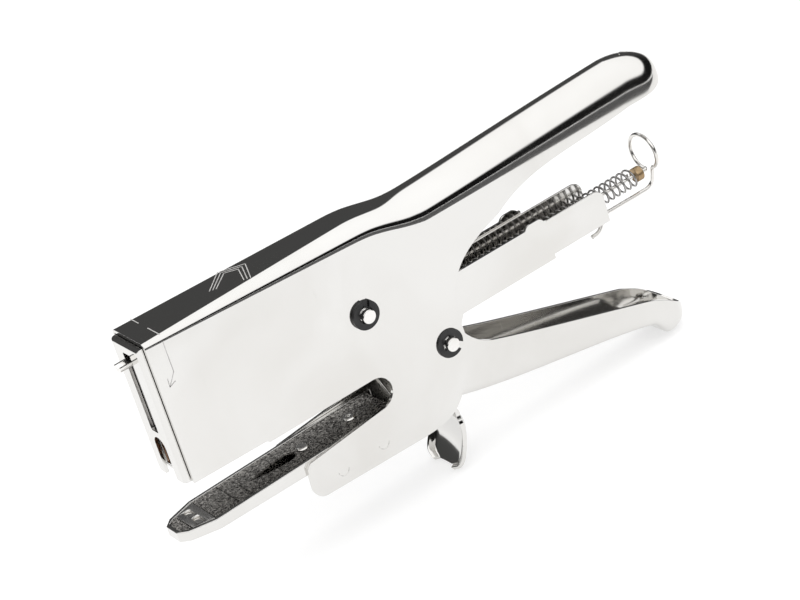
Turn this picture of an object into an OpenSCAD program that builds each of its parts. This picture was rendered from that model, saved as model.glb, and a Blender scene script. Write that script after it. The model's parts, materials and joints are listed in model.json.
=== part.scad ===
// Heavy-duty stapling plier, in millimetres.
// X runs from the nose (0) to the ends of the grips, Y across, Z up.
// The origin lies under the front edge of the head, in the middle, level with the underside of the anvil arm.

/* [Shell] */
// Outside width of the pressed shell
body_w = 22; // [20:0.5:27]
// Thickness of the shell's sheet
shell_t = 1.3; // [1:0.1:1.6]
// Height of the head's side plates
head_h = 53; // [50:1:64]
// Length of the flat top of the head
head_l = 92; // [86:1:100]
// Radius along the long edges of the head
head_r = 3.6; // [2.5:0.1:5]
// Depth of the throat from the front of the head
throat_l = 78; // [68:1:80]
// Height of the throat's rounded rear end
throat_end_h = 12; // [10:0.5:13]
// Depth of the lower-jaw plates below the underside of the arm
jaw_drop = 11; // [9:0.5:14]
// Front end of the lower-jaw plates
jaw_x = 39; // [32:1:46]

/* [Upper grip] */
// Overall length from the front of the head to the end of the upper grip
grip_x = 221; // [200:1:265]
// Depth of the upper grip at its thinnest
grip_h = 15.5; // [13:0.5:19]
// Radius along the crown of the grip
grip_r = 7; // [5:0.5:8]
// Dip of the neck below the head's top
neck_dip = 3; // [1:0.5:4]
// Rise of the crown above the head's top
crown_rise = 2.4; // [1:0.2:4]

/* [Anvil arm] */
// Depth of the arm at its tip
arm_tip_h = 3.7; // [3.2:0.1:5]
// Slope of the arm's top, in degrees
arm_slope = 1.3; // [1:0.1:2]
// Thickness of the arm's sheet
arm_t = 1.4; // [1:0.1:1.8]
// Reach of the arm's tip in front of the head
arm_reach = 9.2; // [7:0.2:12]
// Width of the arm at its tip
arm_tip_w = 13.2; // [11:0.2:15]
// Opening between the arm's tip and the head
jaw_gap = 17.3; // [14:0.1:20]
// Thickness of the inlaid plate
inlay_t = 1; // [0.8:0.1:1.3]

/* [Pivots] */
// Diameter of both pivot pins
pin_d = 5; // [4:0.2:6]
// Place of the lever's pivot behind the front of the head
lever_pivot_x = 77.5; // [72:0.5:80]
// Depth of the lever's pivot below the head's top
lever_pivot_drop = 31; // [29:0.5:32]
// Place of the magazine's pivot behind the lever's pivot
mag_pivot_dx = 27.5; // [26:0.5:29]
// Depth of the magazine's pivot below the magazine's underside
mag_pivot_dz = 5.2; // [4.6:0.1:6]
// Outside diameter of the pivot bushes
bush_d = 8; // [7.4:0.2:8.4]

/* [Squeeze lever] */
// Thickness of the lever's sheet
lever_t = 1.2; // [1:0.1:1.4]
// Distance from the front of the head to the lever's end
lever_x = 206.5; // [185:0.5:240]
// Slope of the lever's grip, in degrees
lever_slope = 17; // [15:0.5:19]
// Depth of the lever's grip at its rear
lever_h = 12; // [10:0.5:15]
// Travel of the lever, in degrees
lever_travel = 21; // [18:0.5:22]
// Diameter of the driver's cross pin
cross_pin_d = 4; // [3:0.2:4.6]

/* [Magazine] */
// Height of the outer channel
mag_h = 15.4; // [14.6:0.1:16]
// Thickness of the outer channel
mag_t = 1; // [0.8:0.1:1.1]
// Length of the outer channel
mag_l = 157; // [140:1:175]
// Length of the inner channel
inner_l = 183.5; // [178:0.5:200]
// Thickness of the inner channel
inner_t = 0.9; // [0.7:0.1:1]
// Length of the staple strip
strip_l = 62; // [40:1:80]
// Height of a staple
staple_h = 10; // [8:0.5:11]
// Thickness of the nose plate
nose_t = 1.2; // [1:0.1:1.4]
// Thickness of the driver blade
blade_t = 0.8; // [0.6:0.05:0.9]

/* [Feed rod and springs] */
// Diameter of the rod's wire
rod_d = 1.5; // [1.2:0.1:1.8]
// Outside diameter of the pull ring
ring_d = 15; // [13:0.5:17]
// Outside diameter of the pusher spring
spring_d = 7.6; // [6.5:0.1:8]
// Wire diameter of the pusher spring
spring_wire_d = 0.8; // [0.6:0.05:0.9]
// Turns of the pusher spring
spring_turns = 48; // [30:1:50]

/* [Clearances] */
// Gap between pieces that slide past each other side by side
side_gap = 0.3; // [0.2:0.05:0.35]
// Gap all round a pin in its hole
pin_gap = 0.05; // [0.03:0.01:0.08]
// Gap between pieces that rest on each other
seat_gap = 0.02; // [0.01:0.01:0.04]

/* [Hidden] */

$fn = 32;
big = 400;

// Heights
top_z = arm_tip_h + jaw_gap + head_h;
plate_z = top_z - head_h;
throat_z = plate_z - 1.5;

// Half widths, from the shell inwards
half_w = body_w / 2;
shell_in = half_w - shell_t;
lever_out = shell_in - side_gap;
lever_in = lever_out - lever_t;
mag_out = lever_in - side_gap;
mag_in = mag_out - mag_t;
inner_out = mag_in - seat_gap;
inner_in = inner_out - inner_t;
arm_out = shell_in - seat_gap;
arm_in = arm_out - arm_t;

// Pivots, seen from the side as [x, z]
mag_z = plate_z + 0.6;
p1 = [lever_pivot_x, top_z - lever_pivot_drop];
p2 = [lever_pivot_x + mag_pivot_dx, mag_z - mag_pivot_dz];

// Magazine
inner_z = mag_z + mag_t + seat_gap;
floor_z = inner_z + inner_t;
inner_top = mag_z + mag_h - 1;
strip_x = 0.3;
staple_wire = 0.8;
crown_z = floor_z + staple_h + seat_gap;
feed_z = mag_z + 8;
channel_x = 0.1;
lug_r = 6;

// Nose plate and driver
nose_gap = 0.2;
blade_x = channel_x - 0.3 - blade_t;
nose_x = blade_x - nose_gap - nose_t;
nose_out = mag_out + seat_gap + nose_t;
nose_top = top_z - shell_t - 0.4;
cross = [8, top_z - 16];
tongue_z = top_z - 7.5;
tongue_r = 2.3;
carrier_half = inner_in - 0.3;

// A point on a cubic curve, and n points along it without its first
function bez(a, b, c, d, t) =
    a * pow(1 - t, 3) + b * 3 * t * pow(1 - t, 2) + c * 3 * t * t * (1 - t) + d * pow(t, 3);
function curve(a, b, c, d, n) = [for (i = [1:n]) bez(a, b, c, d, i / n)];
// Points on an arc round c, from angle a to angle b
function arc(c, r, a, b, n) = [for (i = [0:n]) c + r * [cos(a + (b - a) * i / n), sin(a + (b - a) * i / n)]];
// Height of the arm's top at x
function arm_top(x) = arm_tip_h + (x + arm_reach) * tan(arm_slope);

// Stands a side outline, drawn as [x, z], upright between y = -h and y = h
module side(h) {
    rotate([90, 0, 0]) linear_extrude(2 * h, center = true) children();
}

// A cylinder across the plier at p = [x, z], between y = a and y = b
module across(p, d, a, b) {
    translate([p[0], b, p[1]]) rotate([90, 0, 0]) cylinder(d = d, h = b - a);
}

// ---------------------------------------------------------------- shell

crown_top = top_z + crown_rise;
grip_end_r = half_w;
skirt_z = top_z + crown_rise - grip_h;
rear_x = p2[0] + 7;
throat_floor = throat_z - throat_end_h;

// Top line of the shell, from the front to the end of the grip
function top_line(d) = concat(
    [[-big * 0.01, top_z - d], [head_l, top_z - d]],
    curve([head_l, top_z - d], [head_l + 7, top_z - d], [head_l + 5, top_z - neck_dip - d],
        [head_l + 13, top_z - neck_dip - d], 5),
    curve([head_l + 13, top_z - neck_dip - d], [head_l + 30, top_z - neck_dip - d],
        [head_l + 60, crown_top - 2 - d], [grip_x - 20, crown_top - d], 8),
    curve([grip_x - 20, crown_top - d], [grip_x - 8, crown_top + 0.8 - d],
        [grip_x - d, crown_top - 3 - d], [grip_x - d, crown_top - 10], 7));

// Lower line of the skirt and the rear edge of the plates, from the grip's end down to the heel
skirt_line = concat(
    [[grip_x, skirt_z], [grip_x - 20, skirt_z]],
    curve([grip_x - 20, skirt_z], [grip_x - 50, skirt_z - 3.5], [p2[0] + 50, skirt_z - 0.5],
        [p2[0] + 33, skirt_z - 10.5], 6),
    curve([p2[0] + 33, skirt_z - 10.5], [p2[0] + 18, skirt_z - 15], [rear_x, p1[1] - 2],
        [rear_x - 0.5, p2[1] + 7], 7),
    curve([rear_x - 0.5, p2[1] + 7], [rear_x + 0.5, p2[1] - 6], [rear_x, p2[1] - 10],
        [rear_x - 9, p2[1] - 21.5], 4),
    curve([rear_x - 9, p2[1] - 21.5], [rear_x - 14, 0.4 - jaw_drop], [rear_x - 19, -jaw_drop],
        [rear_x - 28, -jaw_drop], 5));

// Lower jaw and throat, from the bottom edge forwards, then back along the arm and round the throat
jaw_line = concat(
    arc([jaw_x + 5, 1 - jaw_drop * 0.55], 5, 265, 180, 5),
    [[jaw_x + 0.4, arm_top(jaw_x) - 2.2], [jaw_x + 2, arm_top(jaw_x) - 0.6]],
    arc([throat_l - throat_end_h / 2 + 1, throat_z - throat_end_h / 2], throat_end_h / 2, -90, 90, 10),
    [[30, throat_z], [29, plate_z - 0.6], [0, plate_z]]);

module outer_outline() {
    polygon(concat([[0, top_z]], [for (p = top_line(0)) if (p[0] > 0) p], skirt_line, jaw_line));
}

// Section of the shell across Y, round along the top, as [y, z]
module round_top(half, r, top) {
    hull() {
        for (s = [-1, 1]) translate([s * (half - r), top - r]) circle(r);
        translate([-half, -big / 2]) square([2 * half, 1]);
    }
}

module along_x(x, l) {
    translate([x, 0, 0]) rotate([90, 0, 90]) linear_extrude(l) children();
}

// Envelope of the shell, drawn in by d on its top and sides
module envelope(d) {
    crown_slope = atan((crown_rise + neck_dip) / (grip_x - 20 - head_l - 13));
    split = head_l + 13;
    along_x(-5, split + 5) round_top(half_w - d, head_r - d, top_z - d);
    intersection() {
        translate([split, 0, top_z - neck_dip]) rotate([0, -crown_slope, 0]) translate([-split, 0, -top_z])
            along_x(split - 20, big) round_top(half_w - d, grip_r - d, top_z + 1.2 - d);
        translate([split - 1, -big / 2, -big / 2]) cube(big);
    }
}

// Plan of the shell with the grip's round end
module plan(d) {
    translate([0, 0, -big / 2]) linear_extrude(big) {
        translate([-10, d - half_w]) square([grip_x - half_w + 10, 2 * (half_w - d)]);
        translate([grip_x - half_w, 0]) circle(half_w - d, $fn = 48);
    }
}

module body_shell() {
    color("gainsboro")
    difference() {
        intersection() {
            side(half_w) outer_outline();
            envelope(0);
            plan(0);
        }
        intersection() {
            side(shell_in) polygon(concat(top_line(shell_t), [[grip_x - shell_t, -60], [-4, -60]]));
            envelope(shell_t);
            plan(shell_t);
        }
        for (p = [p1, p2]) across(p, pin_d + 2 * pin_gap, -big / 2, big / 2);
    }
}

// ---------------------------------------------------------------- lower jaw

arm_x = p2[0] - 25;
nose_w = arm_tip_w / 2;

module arm_plan(d) {
    polygon([[-arm_reach + d, -nose_w + 3], [-arm_reach + 3 + d / 2, -nose_w + d], [3.5, -arm_out + d],
        [arm_x + (d > 0 ? 1 : 0), -arm_out + d], [arm_x + (d > 0 ? 1 : 0), arm_out - d], [3.5, arm_out - d],
        [-arm_reach + 3 + d / 2, nose_w - d], [-arm_reach + d, nose_w - 3]]);
}

module arm_side(d) {
    polygon([[-arm_reach - 1, 0], [arm_x, 0], [arm_x, arm_top(arm_x) - d], [-arm_reach - 1, arm_top(-arm_reach - 1) - d]]);
}

module anvil_arm() {
    color("silver")
    difference() {
        intersection() {
            linear_extrude(30) arm_plan(0);
            side(half_w) arm_side(0);
        }
        translate([0, 0, arm_t]) linear_extrude(30) arm_plan(arm_t);
        for (x = rivet_x) translate([x, 0, -1]) cylinder(d = rivet_d + 2 * seat_gap, h = 10);
    }
}

rivet_x = [45, 65];
rivet_d = 3;
clinch_l = 8;
clinch_w = 10;
long_slot = [24, 41];

// The inlaid plate follows the slope of the arm's top, just below its rim
module on_slope(drop) {
    translate([-arm_reach, 0, arm_tip_h - drop]) rotate([0, -arm_slope, 0]) translate([arm_reach, 0, 0]) children();
}

module anvil_plate() {
    color("dimgray")
    difference() {
        on_slope(inlay_t + 0.3) linear_extrude(inlay_t) difference() {
            arm_plan(arm_t + seat_gap);
            translate([-clinch_l / 2, -clinch_w / 2]) square([clinch_l, clinch_w]);
            hull() for (x = long_slot) translate([x, 0]) circle(2.2);
            translate([arm_x - 2, -big / 2]) square(big);
        }
        for (x = rivet_x) translate([x, 0, -1]) cylinder(d = rivet_d + 2 * seat_gap, h = 20);
    }
}

module clinch_plate() {
    gap = seat_gap * 2;
    color("lightgray")
    on_slope(inlay_t + 0.3) difference() {
        translate([gap - clinch_l / 2, gap - clinch_w / 2, 0])
            cube([clinch_l - 2 * gap, clinch_w - 2 * gap, inlay_t + 0.2]);
        for (s = [-1, 1]) translate([0, s * 2.5, inlay_t + 0.9]) rotate([90, 0, 0])
            cylinder(r = 1.4, h = 3.4, center = true);
    }
}

// A rivet flush under the arm's floor, with a shoulder that carries the plate and a head on top
module arm_rivet(x, dimple) {
    under = arm_top(x) - 0.3 - inlay_t;
    shoulder_gap = 0.15;
    difference() {
        union() {
            translate([x, 0, 0]) cylinder(d = rivet_d, h = under + inlay_t + 0.3);
            translate([x, 0, arm_t + seat_gap]) cylinder(d = rivet_d + 2.4, h = under - arm_t - shoulder_gap);
            translate([x, 0, under + inlay_t + 0.1]) cylinder(d1 = rivet_d + 2, d2 = rivet_d + 1, h = 0.7);
        }
        if (dimple) translate([x, 0, under + inlay_t + 0.4]) cylinder(d1 = 1, d2 = 2.4, h = 0.6);
    }
}

module anvil_front_rivet() { color("silver") arm_rivet(rivet_x[0], false); }
module anvil_rear_rivet() { color("silver") arm_rivet(rivet_x[1], true); }

// Dished foot: a strap between the plates that turns down into a shield as wide as the shell
heel_t = 1.5;
heel_r = 5;
heel_x = rear_x - 8.5;
heel_low = -jaw_drop - 21;
strap_z = 3.6 - jaw_drop;

// Rear face of the heel from its strap to its foot, drawn in by d
function heel_back(d) = curve([heel_x - 6, strap_z - d], [heel_x + 1 - d, strap_z - d],
    [heel_x + 3 - d, -jaw_drop - 8], [heel_x - 6.5 - d, heel_low], 12);

module heel() {
    color("silver")
    intersection() {
        side(half_w) polygon(concat([[heel_x - 19, strap_z]], heel_back(0),
            [for (i = [11:-1:0]) heel_back(heel_t)[i]], [[heel_x - 19, strap_z - heel_t]]));
        rotate([90, 0, 90]) linear_extrude(big) {
            translate([seat_gap - shell_in, heel_low + 9]) square([2 * (shell_in - seat_gap), big]);
            translate([-half_w, heel_low + heel_r + 3]) square([body_w, 11]);
            for (s = [-1, 1]) translate([s * (half_w - heel_r), heel_low + heel_r]) circle(heel_r);
            translate([heel_r - half_w, heel_low]) square([body_w - 2 * heel_r, 2 * heel_r]);
            translate([-half_w, heel_low + heel_r]) square([body_w, 6]);
        }
    }
}

// ---------------------------------------------------------------- pins and clips

head_t = 1.4;
clip_t = 0.7;
washer_t = 0.6;
pin_out = 2.6;

// A pin with a flat head on the far plate and a groove for its clip on the near plate
module pivot_pin(p, lift) {
    groove_y = -half_w - lift - clip_t;
    difference() {
        union() {
            across(p, pin_d, -half_w - pin_out - lift, half_w + 0.1);
            across(p, pin_d + 3, half_w + seat_gap, half_w + head_t);
        }
        difference() {
            across(p, pin_d + 1, groove_y - 0.1, groove_y + clip_t);
            across(p, pin_d - 1, groove_y - 1, groove_y + clip_t + 1);
        }
    }
}

module handle_pivot_pin() { color("silver") pivot_pin(p1, washer_t); }
module magazine_pivot_pin() { color("silver") pivot_pin(p2, 0); }

// An E-clip round the pin's groove, open towards the given angle
module e_clip(p, lift, turn) {
    y = -half_w - lift - clip_t;
    grip = pin_d - 1 + 2 * seat_gap;
    color("#202022")
    translate([p[0], y, p[1]]) rotate([90, 0, 0]) rotate(turn)
    translate([0, 0, -clip_t + seat_gap]) linear_extrude(clip_t - 2 * seat_gap) difference() {
        circle(d = pin_d * 2.1);
        circle(d = grip + 1.8);
        translate([0, -grip * 0.3]) square([pin_d * 2, grip * 0.6]);
    }
    color("#202022")
    translate([p[0], y, p[1]]) rotate([90, 0, 0]) rotate(turn)
    translate([0, 0, -clip_t + seat_gap]) linear_extrude(clip_t - 2 * seat_gap) difference() {
        for (a = [90, 180, 270]) rotate(a) translate([grip / 2 - 0.3, -0.9]) square([2, 1.8]);
        circle(d = grip);
    }
}

module handle_pivot_clip() { e_clip(p1, washer_t, 75); }
module magazine_pivot_clip() { e_clip(p2, 0, -35); }

module pivot_washer() {
    color("#2a2a2c")
    difference() {
        across(p1, pin_d * 2.1, -half_w - washer_t, -half_w - seat_gap);
        across(p1, pin_d + 2 * pin_gap, -half_w - 2, 0);
    }
}

// ---------------------------------------------------------------- squeeze lever

// Angle and distance of the magazine's pin round the lever's pivot
slot_r = norm(p2 - p1);
slot_a = atan2(p2[1] - p1[1], p2[0] - p1[0]);
slot_w = pin_d + 2;
slot_spare = 5;
grip_start = [p2[0] + 17.5, p2[1] - 9];
grip_end = [lever_x - 6, p2[1] - 9 - tan(lever_slope) * (lever_x - 6 - grip_start[0])];
floor_start = [p2[0] - 0.5, p2[1] - 22.6];
floor_end = [lever_x - 17.5, grip_end[1] - lever_h + 4.5];

// Lower line of the lever's grip, from the lobe at its end forwards, raised by d
lobe_rim = grip_end[1] - 8;
lobe_low = grip_end[1] - 15.6;
function lever_floor(d) = concat(
    [[lever_x - d, lobe_rim]],
    curve([lever_x - d, lobe_rim], [lever_x - d, lobe_low + d],
        [lever_x - 4, lobe_low + 0.4 + d], [lever_x - 10.5, lobe_low + 1.2 + d], 8),
    curve([lever_x - 10.5, lobe_low + 1.2 + d], [lever_x - 13, lobe_low + 1.8 + d],
        [lever_x - 15, floor_end[1] - 1 + d], [floor_end[0], floor_end[1] + d], 3),
    curve([floor_end[0], floor_end[1] + d], [floor_end[0] - 25, floor_end[1] + 7.6 + d],
        [floor_start[0] + 25, floor_start[1] - 7.6 + d], [floor_start[0], floor_start[1] + d], 5));

module lever_outline() {
    polygon(concat(
        arc(cross, 4.6, 200, 90, 5),
        [[55, top_z - 17.5]],
        arc(p1, 9.5, 95, 45, 4),
        curve(p1 + 9.5 * [cos(45), sin(45)], p1 + [16, 0], p2 + [4, 16], p2 + [5.9, 4], 6),
        curve(p2 + [5.9, 4], p2 + [6.6, -1], p2 + [11.5, -6.5], grip_start, 4),
        curve(grip_start, grip_start + [14, -5], grip_end - [26, -8.5], grip_end, 6),
        curve(grip_end, grip_end + [4, -1.2], [lever_x, lobe_rim + 4], [lever_x, lobe_rim], 4),
        lever_floor(0),
        arc(p1, slot_r + 6.5, slot_a - 17, slot_a - lever_travel - 13, 5),
        arc(p1, slot_r - 5, slot_a - lever_travel - 15, slot_a - lever_travel - 19, 1),
        [p1 + [3, -13], p1 + [-14, -4.5], [cross[0] + 14, cross[1] - 5]]));
}

module squeeze_lever() {
    color("gainsboro")
    difference() {
        side(lever_out) lever_outline();
        side(lever_in) polygon(concat([[-10, top_z], [lever_x - lever_t, top_z]], lever_floor(lever_t),
            [[floor_start[0] - 1, floor_start[1] - 20], [-10, -20]]));
        across(p1, pin_d + 2 * pin_gap, -big / 2, big / 2);
        across(cross, cross_pin_d + 2 * seat_gap, -big / 2, big / 2);
        translate([p1[0], big / 2, p1[1]]) rotate([90, 0, 0])
            rotate(slot_a - lever_travel - slot_spare) rotate_extrude(angle = lever_travel + 2 * slot_spare, $fn = 96)
                translate([slot_r - slot_w / 2, 0]) square([slot_w, big]);
    }
}

module lever_pivot_bush() {
    color("darkkhaki")
    difference() {
        across(p1, bush_d, side_gap - lever_in, lever_in - side_gap);
        across(p1, pin_d + 2 * pin_gap, -big / 2, big / 2);
    }
}

module driver_cross_pin() {
    color("silver")
    union() {
        across(cross, cross_pin_d, seat_gap - lever_out, lever_out - seat_gap);
        for (s = [-1, 1]) across(cross, cross_pin_d + 2,
            s > 0 ? mag_out - 1.2 : -mag_out + 0.2, s > 0 ? mag_out - 0.2 : 1.2 - mag_out);
    }
}

function unit(v) = v / norm(v);

// One closed tube along a line of points, its rings carried along without twisting
module tube(p, d, sides, first) {
    n = len(p);
    t = [for (i = [0:n - 1]) unit(p[min(i + 1, n - 1)] - p[max(i - 1, 0)])];
    m = [for (i = 0, v = unit(first - (first * t[0]) * t[0]); i < n;
        i = i + 1, v = i < n ? unit(v - (v * t[i]) * t[i]) : v) v];
    points = [for (i = [0:n - 1], k = [0:sides - 1])
        p[i] + d / 2 * (cos(360 * k / sides) * m[i] + sin(360 * k / sides) * cross(t[i], m[i]))];
    sleeve = [for (i = [0:n - 2], k = [0:sides - 1]) let (a = i * sides, b = (k + 1) % sides)
        each [[a + k, a + sides + k, a + sides + b], [a + k, a + sides + b, a + b]]];
    last = (n - 1) * sides;
    polyhedron(points, concat(sleeve, [[for (k = [0:sides - 1]) k]], [[for (k = [1:sides]) last + sides - k]]));
}

// A close-wound torsion spring round p, from its front leg's end over the top to its second leg's end
module torsion_spring(p, r, wire_d, turns, front, rear) {
    steps = 12;
    n = round(turns * steps);
    length = turns * wire_d * 1.04;
    tube(concat([[front[0], -length / 2, front[1]]],
        [for (i = [0:n]) [p[0] + r * sin(360 * i / steps), length * (i / n - 0.5), p[1] + r * cos(360 * i / steps)]],
        [[rear[0], length / 2, rear[1]]]), wire_d, 6, [0, 1, 0]);
}

module lever_return_spring() {
    wire_d = 1;
    r = (bush_d + 2 * side_gap + wire_d) / 2;
    color("slategray")
    torsion_spring(p1, r, wire_d, 8, [p1[0] - 24, top_z - shell_t - 1.2], [p1[0] + 22, p1[1] + r + 3]);
}

// ---------------------------------------------------------------- driver

module driver_blade() {
    color("slategray")
    translate([blade_x, seat_gap - inner_in, crown_z + 0.4])
        cube([blade_t, 2 * (inner_in - seat_gap), tongue_z - tongue_r - 0.4 - crown_z - 0.4]);
}

// Two cheeks behind the blade with a long slot for the cross pin
module driver_carrier() {
    slot_low = cross_pin_d / 2 + 0.6;
    slot_front = cross_pin_d / 2 + 0.6;
    slot_rear = cross_pin_d / 2 + 3.4;
    low = cross[1] - slot_low - 2.2;
    high = cross[1] + slot_low + 1.6;
    color("gray")
    difference() {
        translate([blade_x + blade_t + seat_gap, -carrier_half, low])
            cube([cross[0] + slot_rear + 2.2 - blade_x - blade_t, 2 * carrier_half, high - low]);
        translate([cross[0] - slot_front, -big / 2, cross[1] - slot_low])
            cube([slot_front + slot_rear, big, 2 * slot_low]);
        translate([blade_x + blade_t + 1.4, 1.4 - carrier_half, low - 1])
            cube([big, 2 * (carrier_half - 1.4), high - low - 0.6]);
    }
}

// A half-round trough that shows through the nose slot
module driver_tongue() {
    reach = nose_x - 4.4;
    base = cross[1] + cross_pin_d / 2 + 2.2 + seat_gap;
    color("silver")
    difference() {
        union() {
            intersection() {
                translate([reach, 0, tongue_z]) rotate([0, 90, 0]) cylinder(r = tongue_r, h = cross[0] + 4 - reach);
                translate([reach - 1, -big / 2, tongue_z - big]) cube([big, big, big]);
            }
            translate([blade_x + blade_t + seat_gap, -tongue_r, base]) cube([cross[0] - 2, 2 * tongue_r, tongue_z - base - 0.5]);
        }
        translate([reach - 1, 0, tongue_z + 0.6]) rotate([0, 90, 0]) cylinder(r = tongue_r - 0.7, h = big);
    }
}

// ---------------------------------------------------------------- nose plate and magazine

slot_half = tongue_r + 0.15;
arch_half = 3.6;
leg_z = plate_z + 0.2;
nose_r = 1.5;

module nose_plate() {
    in = nose_out - nose_t;
    arch_z = plate_z + 12;
    color("gainsboro")
    difference() {
        along_x(nose_x, nose_t + 9.5 + blade_t) {
            translate([-nose_out, leg_z]) square([2 * nose_out, nose_top - nose_r - leg_z]);
            translate([nose_r - nose_out, leg_z]) square([2 * (nose_out - nose_r), nose_top - leg_z]);
            for (s = [-1, 1]) translate([s * (nose_out - nose_r), nose_top - nose_r]) circle(nose_r);
        }
        along_x(nose_x + nose_t, 40) translate([-in, leg_z - 1]) square([2 * in, nose_top - nose_t - leg_z + 1]);
        translate([blade_x + blade_t + 1.8, -big / 2, mag_z + mag_h + 3]) cube(big);
        along_x(nose_x - 1, nose_t + 2) {
            translate([-slot_half, plate_z + 18]) square([2 * slot_half, nose_top - 2.6 - plate_z - 18]);
            translate([0, arch_z]) circle(arch_half);
            translate([-arch_half, 0]) square([2 * arch_half, arch_z]);
        }
        for (z = rivet_z) across([nose_rivet_x, z], 2 + 2 * seat_gap, -big / 2, big / 2);
    }
}

rivet_z = [mag_z + 4, mag_z + mag_h - 4];
nose_rivet_x = 5;

module nose_rivets() {
    color("silver")
    for (z = rivet_z, s = [-1, 1]) union() {
        across([nose_rivet_x, z], 2, s > 0 ? mag_in + seat_gap : -nose_out - 0.1,
            s > 0 ? nose_out + 0.1 : -mag_in - seat_gap);
        across([nose_rivet_x, z], 3.2, s > 0 ? nose_out + seat_gap : -nose_out - 0.25,
            s > 0 ? nose_out + 0.25 : -nose_out - seat_gap);
    }
}

bump_x = mag_l - 3.5;

lug_half = 12;

module magazine_channel() {
    color("silver")
    difference() {
        union() {
            side(mag_out) translate([channel_x, mag_z]) square([mag_l - channel_x, mag_h]);
            side(mag_out) polygon([p2 + [-lug_half, mag_z + 3 - p2[1]], p2 + [lug_half, mag_z + 3 - p2[1]],
                p2 + [5.2, -3], p2 + [-5.2, -3]]);
            across(p2, 2 * lug_r, -mag_out, mag_out);
            for (x = [bump_x - 3, bump_x]) across([x, mag_z + mag_h - 1.4], 6, -mag_out, mag_out);
            side(mag_out) translate([bump_x - 3, mag_z + mag_h - 1]) square([3, 2.6]);
        }
        side(mag_in) translate([-10, mag_z + mag_t]) square([big, big]);
        side(mag_in) translate([-10, -50]) square([big, 50 + mag_z]);
        across(p2, pin_d + 2 * pin_gap, -big / 2, big / 2);
        for (z = rivet_z) across([nose_rivet_x, z], 2 + 2 * seat_gap, -big / 2, big / 2);
    }
}

module inner_channel() {
    corner = 4;
    color("lightgray")
    difference() {
        side(inner_out) {
            translate([channel_x, inner_z]) square([inner_l - corner - channel_x, inner_top - inner_z]);
            translate([inner_l - corner - 1, inner_z]) square([corner + 1, inner_top - inner_z - corner]);
            translate([inner_l - corner, inner_top - corner]) circle(corner);
        }
        side(inner_in) translate([-10, floor_z]) square([big, big]);
    }
}

module magazine_bush() {
    color("darkkhaki")
    difference() {
        across(p2, bush_d, seat_gap - mag_in, mag_in - seat_gap);
        across(p2, pin_d + 2 * pin_gap, -big / 2, big / 2);
    }
}

module magazine_lift_spring() {
    wire_d = 0.9;
    r = (bush_d + side_gap + wire_d) / 2;
    color("slategray")
    torsion_spring(p2, r, wire_d, 6.5, p2 + [-13, r - 0.3], p2 + [-13, -r - 1]);
}

// ---------------------------------------------------------------- staples and feed

staple_half = inner_in - 0.2;

module staple_strip() {
    color("#b5764a")
    difference() {
        translate([strip_x, -staple_half, floor_z + seat_gap]) cube([strip_l, 2 * staple_half, staple_h]);
        translate([strip_x - 1, staple_wire - staple_half, floor_z - 1])
            cube([strip_l + 2, 2 * (staple_half - staple_wire), staple_h + 1 - staple_wire]);
    }
}

pusher_x = strip_x + strip_l + 0.05;
pusher_l = 12;

module staple_pusher() {
    color("dimgray")
    difference() {
        union() {
            translate([pusher_x, -staple_half, floor_z + seat_gap]) cube([pusher_l, 2 * staple_half, staple_h - 1]);
            translate([pusher_x, 0, feed_z]) rotate([0, 90, 0]) cylinder(d = 6, h = pusher_l);
        }
        translate([pusher_x - 1, 0, feed_z]) rotate([0, 90, 0]) cylinder(d = rod_d + 2 * pin_gap, h = pusher_l + 2);
    }
}

ring_x = grip_x - 13;
bend_x = ring_x - 2.5;
arm_z = mag_z + 0.6;
spring_x = pusher_x + pusher_l + 0.1;
spring_end = bend_x - 3.2;

module pusher_spring() {
    r = (spring_d - spring_wire_d) / 2;
    steps = 8;
    length = spring_end - spring_x - spring_wire_d;
    n = spring_turns * steps;
    color("gray")
    tube([for (i = [0:n]) [spring_x + spring_wire_d / 2 + length * i / n,
        r * cos(360 * i / steps), feed_z + r * sin(360 * i / steps)]], spring_wire_d, 5, [0, 1, 0]);
}

// One bent wire: a straight arm through the spring, the ring, and an arm back to the hook
module feed_rod() {
    r = (ring_d - rod_d) / 2;
    ring_z = feed_z + r;
    low_x = ring_x - 2.4;
    color("silver")
    tube(concat(
        [[pusher_x - 4, 0, feed_z], [ring_x - 3, 0, feed_z]],
        [for (a = [-90:15:250]) [ring_x + 1.6 * (a + 90) / 340, r * cos(a), ring_z + r * sin(a)]],
        [[ring_x + 1.2, -1.4, feed_z - 3], [ring_x, -0.6, arm_z + 1], [ring_x - 1, 0, arm_z + 0.2],
        [low_x - 1, 0, arm_z], [inner_l + 4, 0, arm_z], [inner_l + 3, 0, arm_z - 0.4],
        [inner_l - 1, 0, mag_z - 4], [inner_l - 2, 0, mag_z - 4.6], [inner_l - 5, 0, mag_z - 5]]),
        rod_d, 10, [0, 0, 1]);
}

module rod_bush() {
    color("peru")
    difference() {
        translate([spring_end + 0.05, 0, feed_z]) rotate([0, 90, 0]) cylinder(d = 5.4, h = 3);
        translate([spring_end - 1, 0, feed_z]) rotate([0, 90, 0]) cylinder(d = rod_d + 2 * seat_gap, h = 6);
    }
}

body_shell();
anvil_arm();
anvil_plate();
clinch_plate();
anvil_front_rivet();
anvil_rear_rivet();
heel();
handle_pivot_pin();
magazine_pivot_pin();
handle_pivot_clip();
magazine_pivot_clip();
pivot_washer();
squeeze_lever();
lever_pivot_bush();
lever_return_spring();
driver_cross_pin();
driver_blade();
driver_carrier();
driver_tongue();
nose_plate();
nose_rivets();
magazine_channel();
inner_channel();
magazine_bush();
magazine_lift_spring();
staple_strip();
staple_pusher();
pusher_spring();
feed_rod();
rod_bush();
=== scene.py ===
"""Heavy-duty stapling plier: the finished looks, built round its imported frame.

X runs from the nose to the ends of the grips, Y across and Z up. Sizes in the classes are millimetres.
"""

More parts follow.
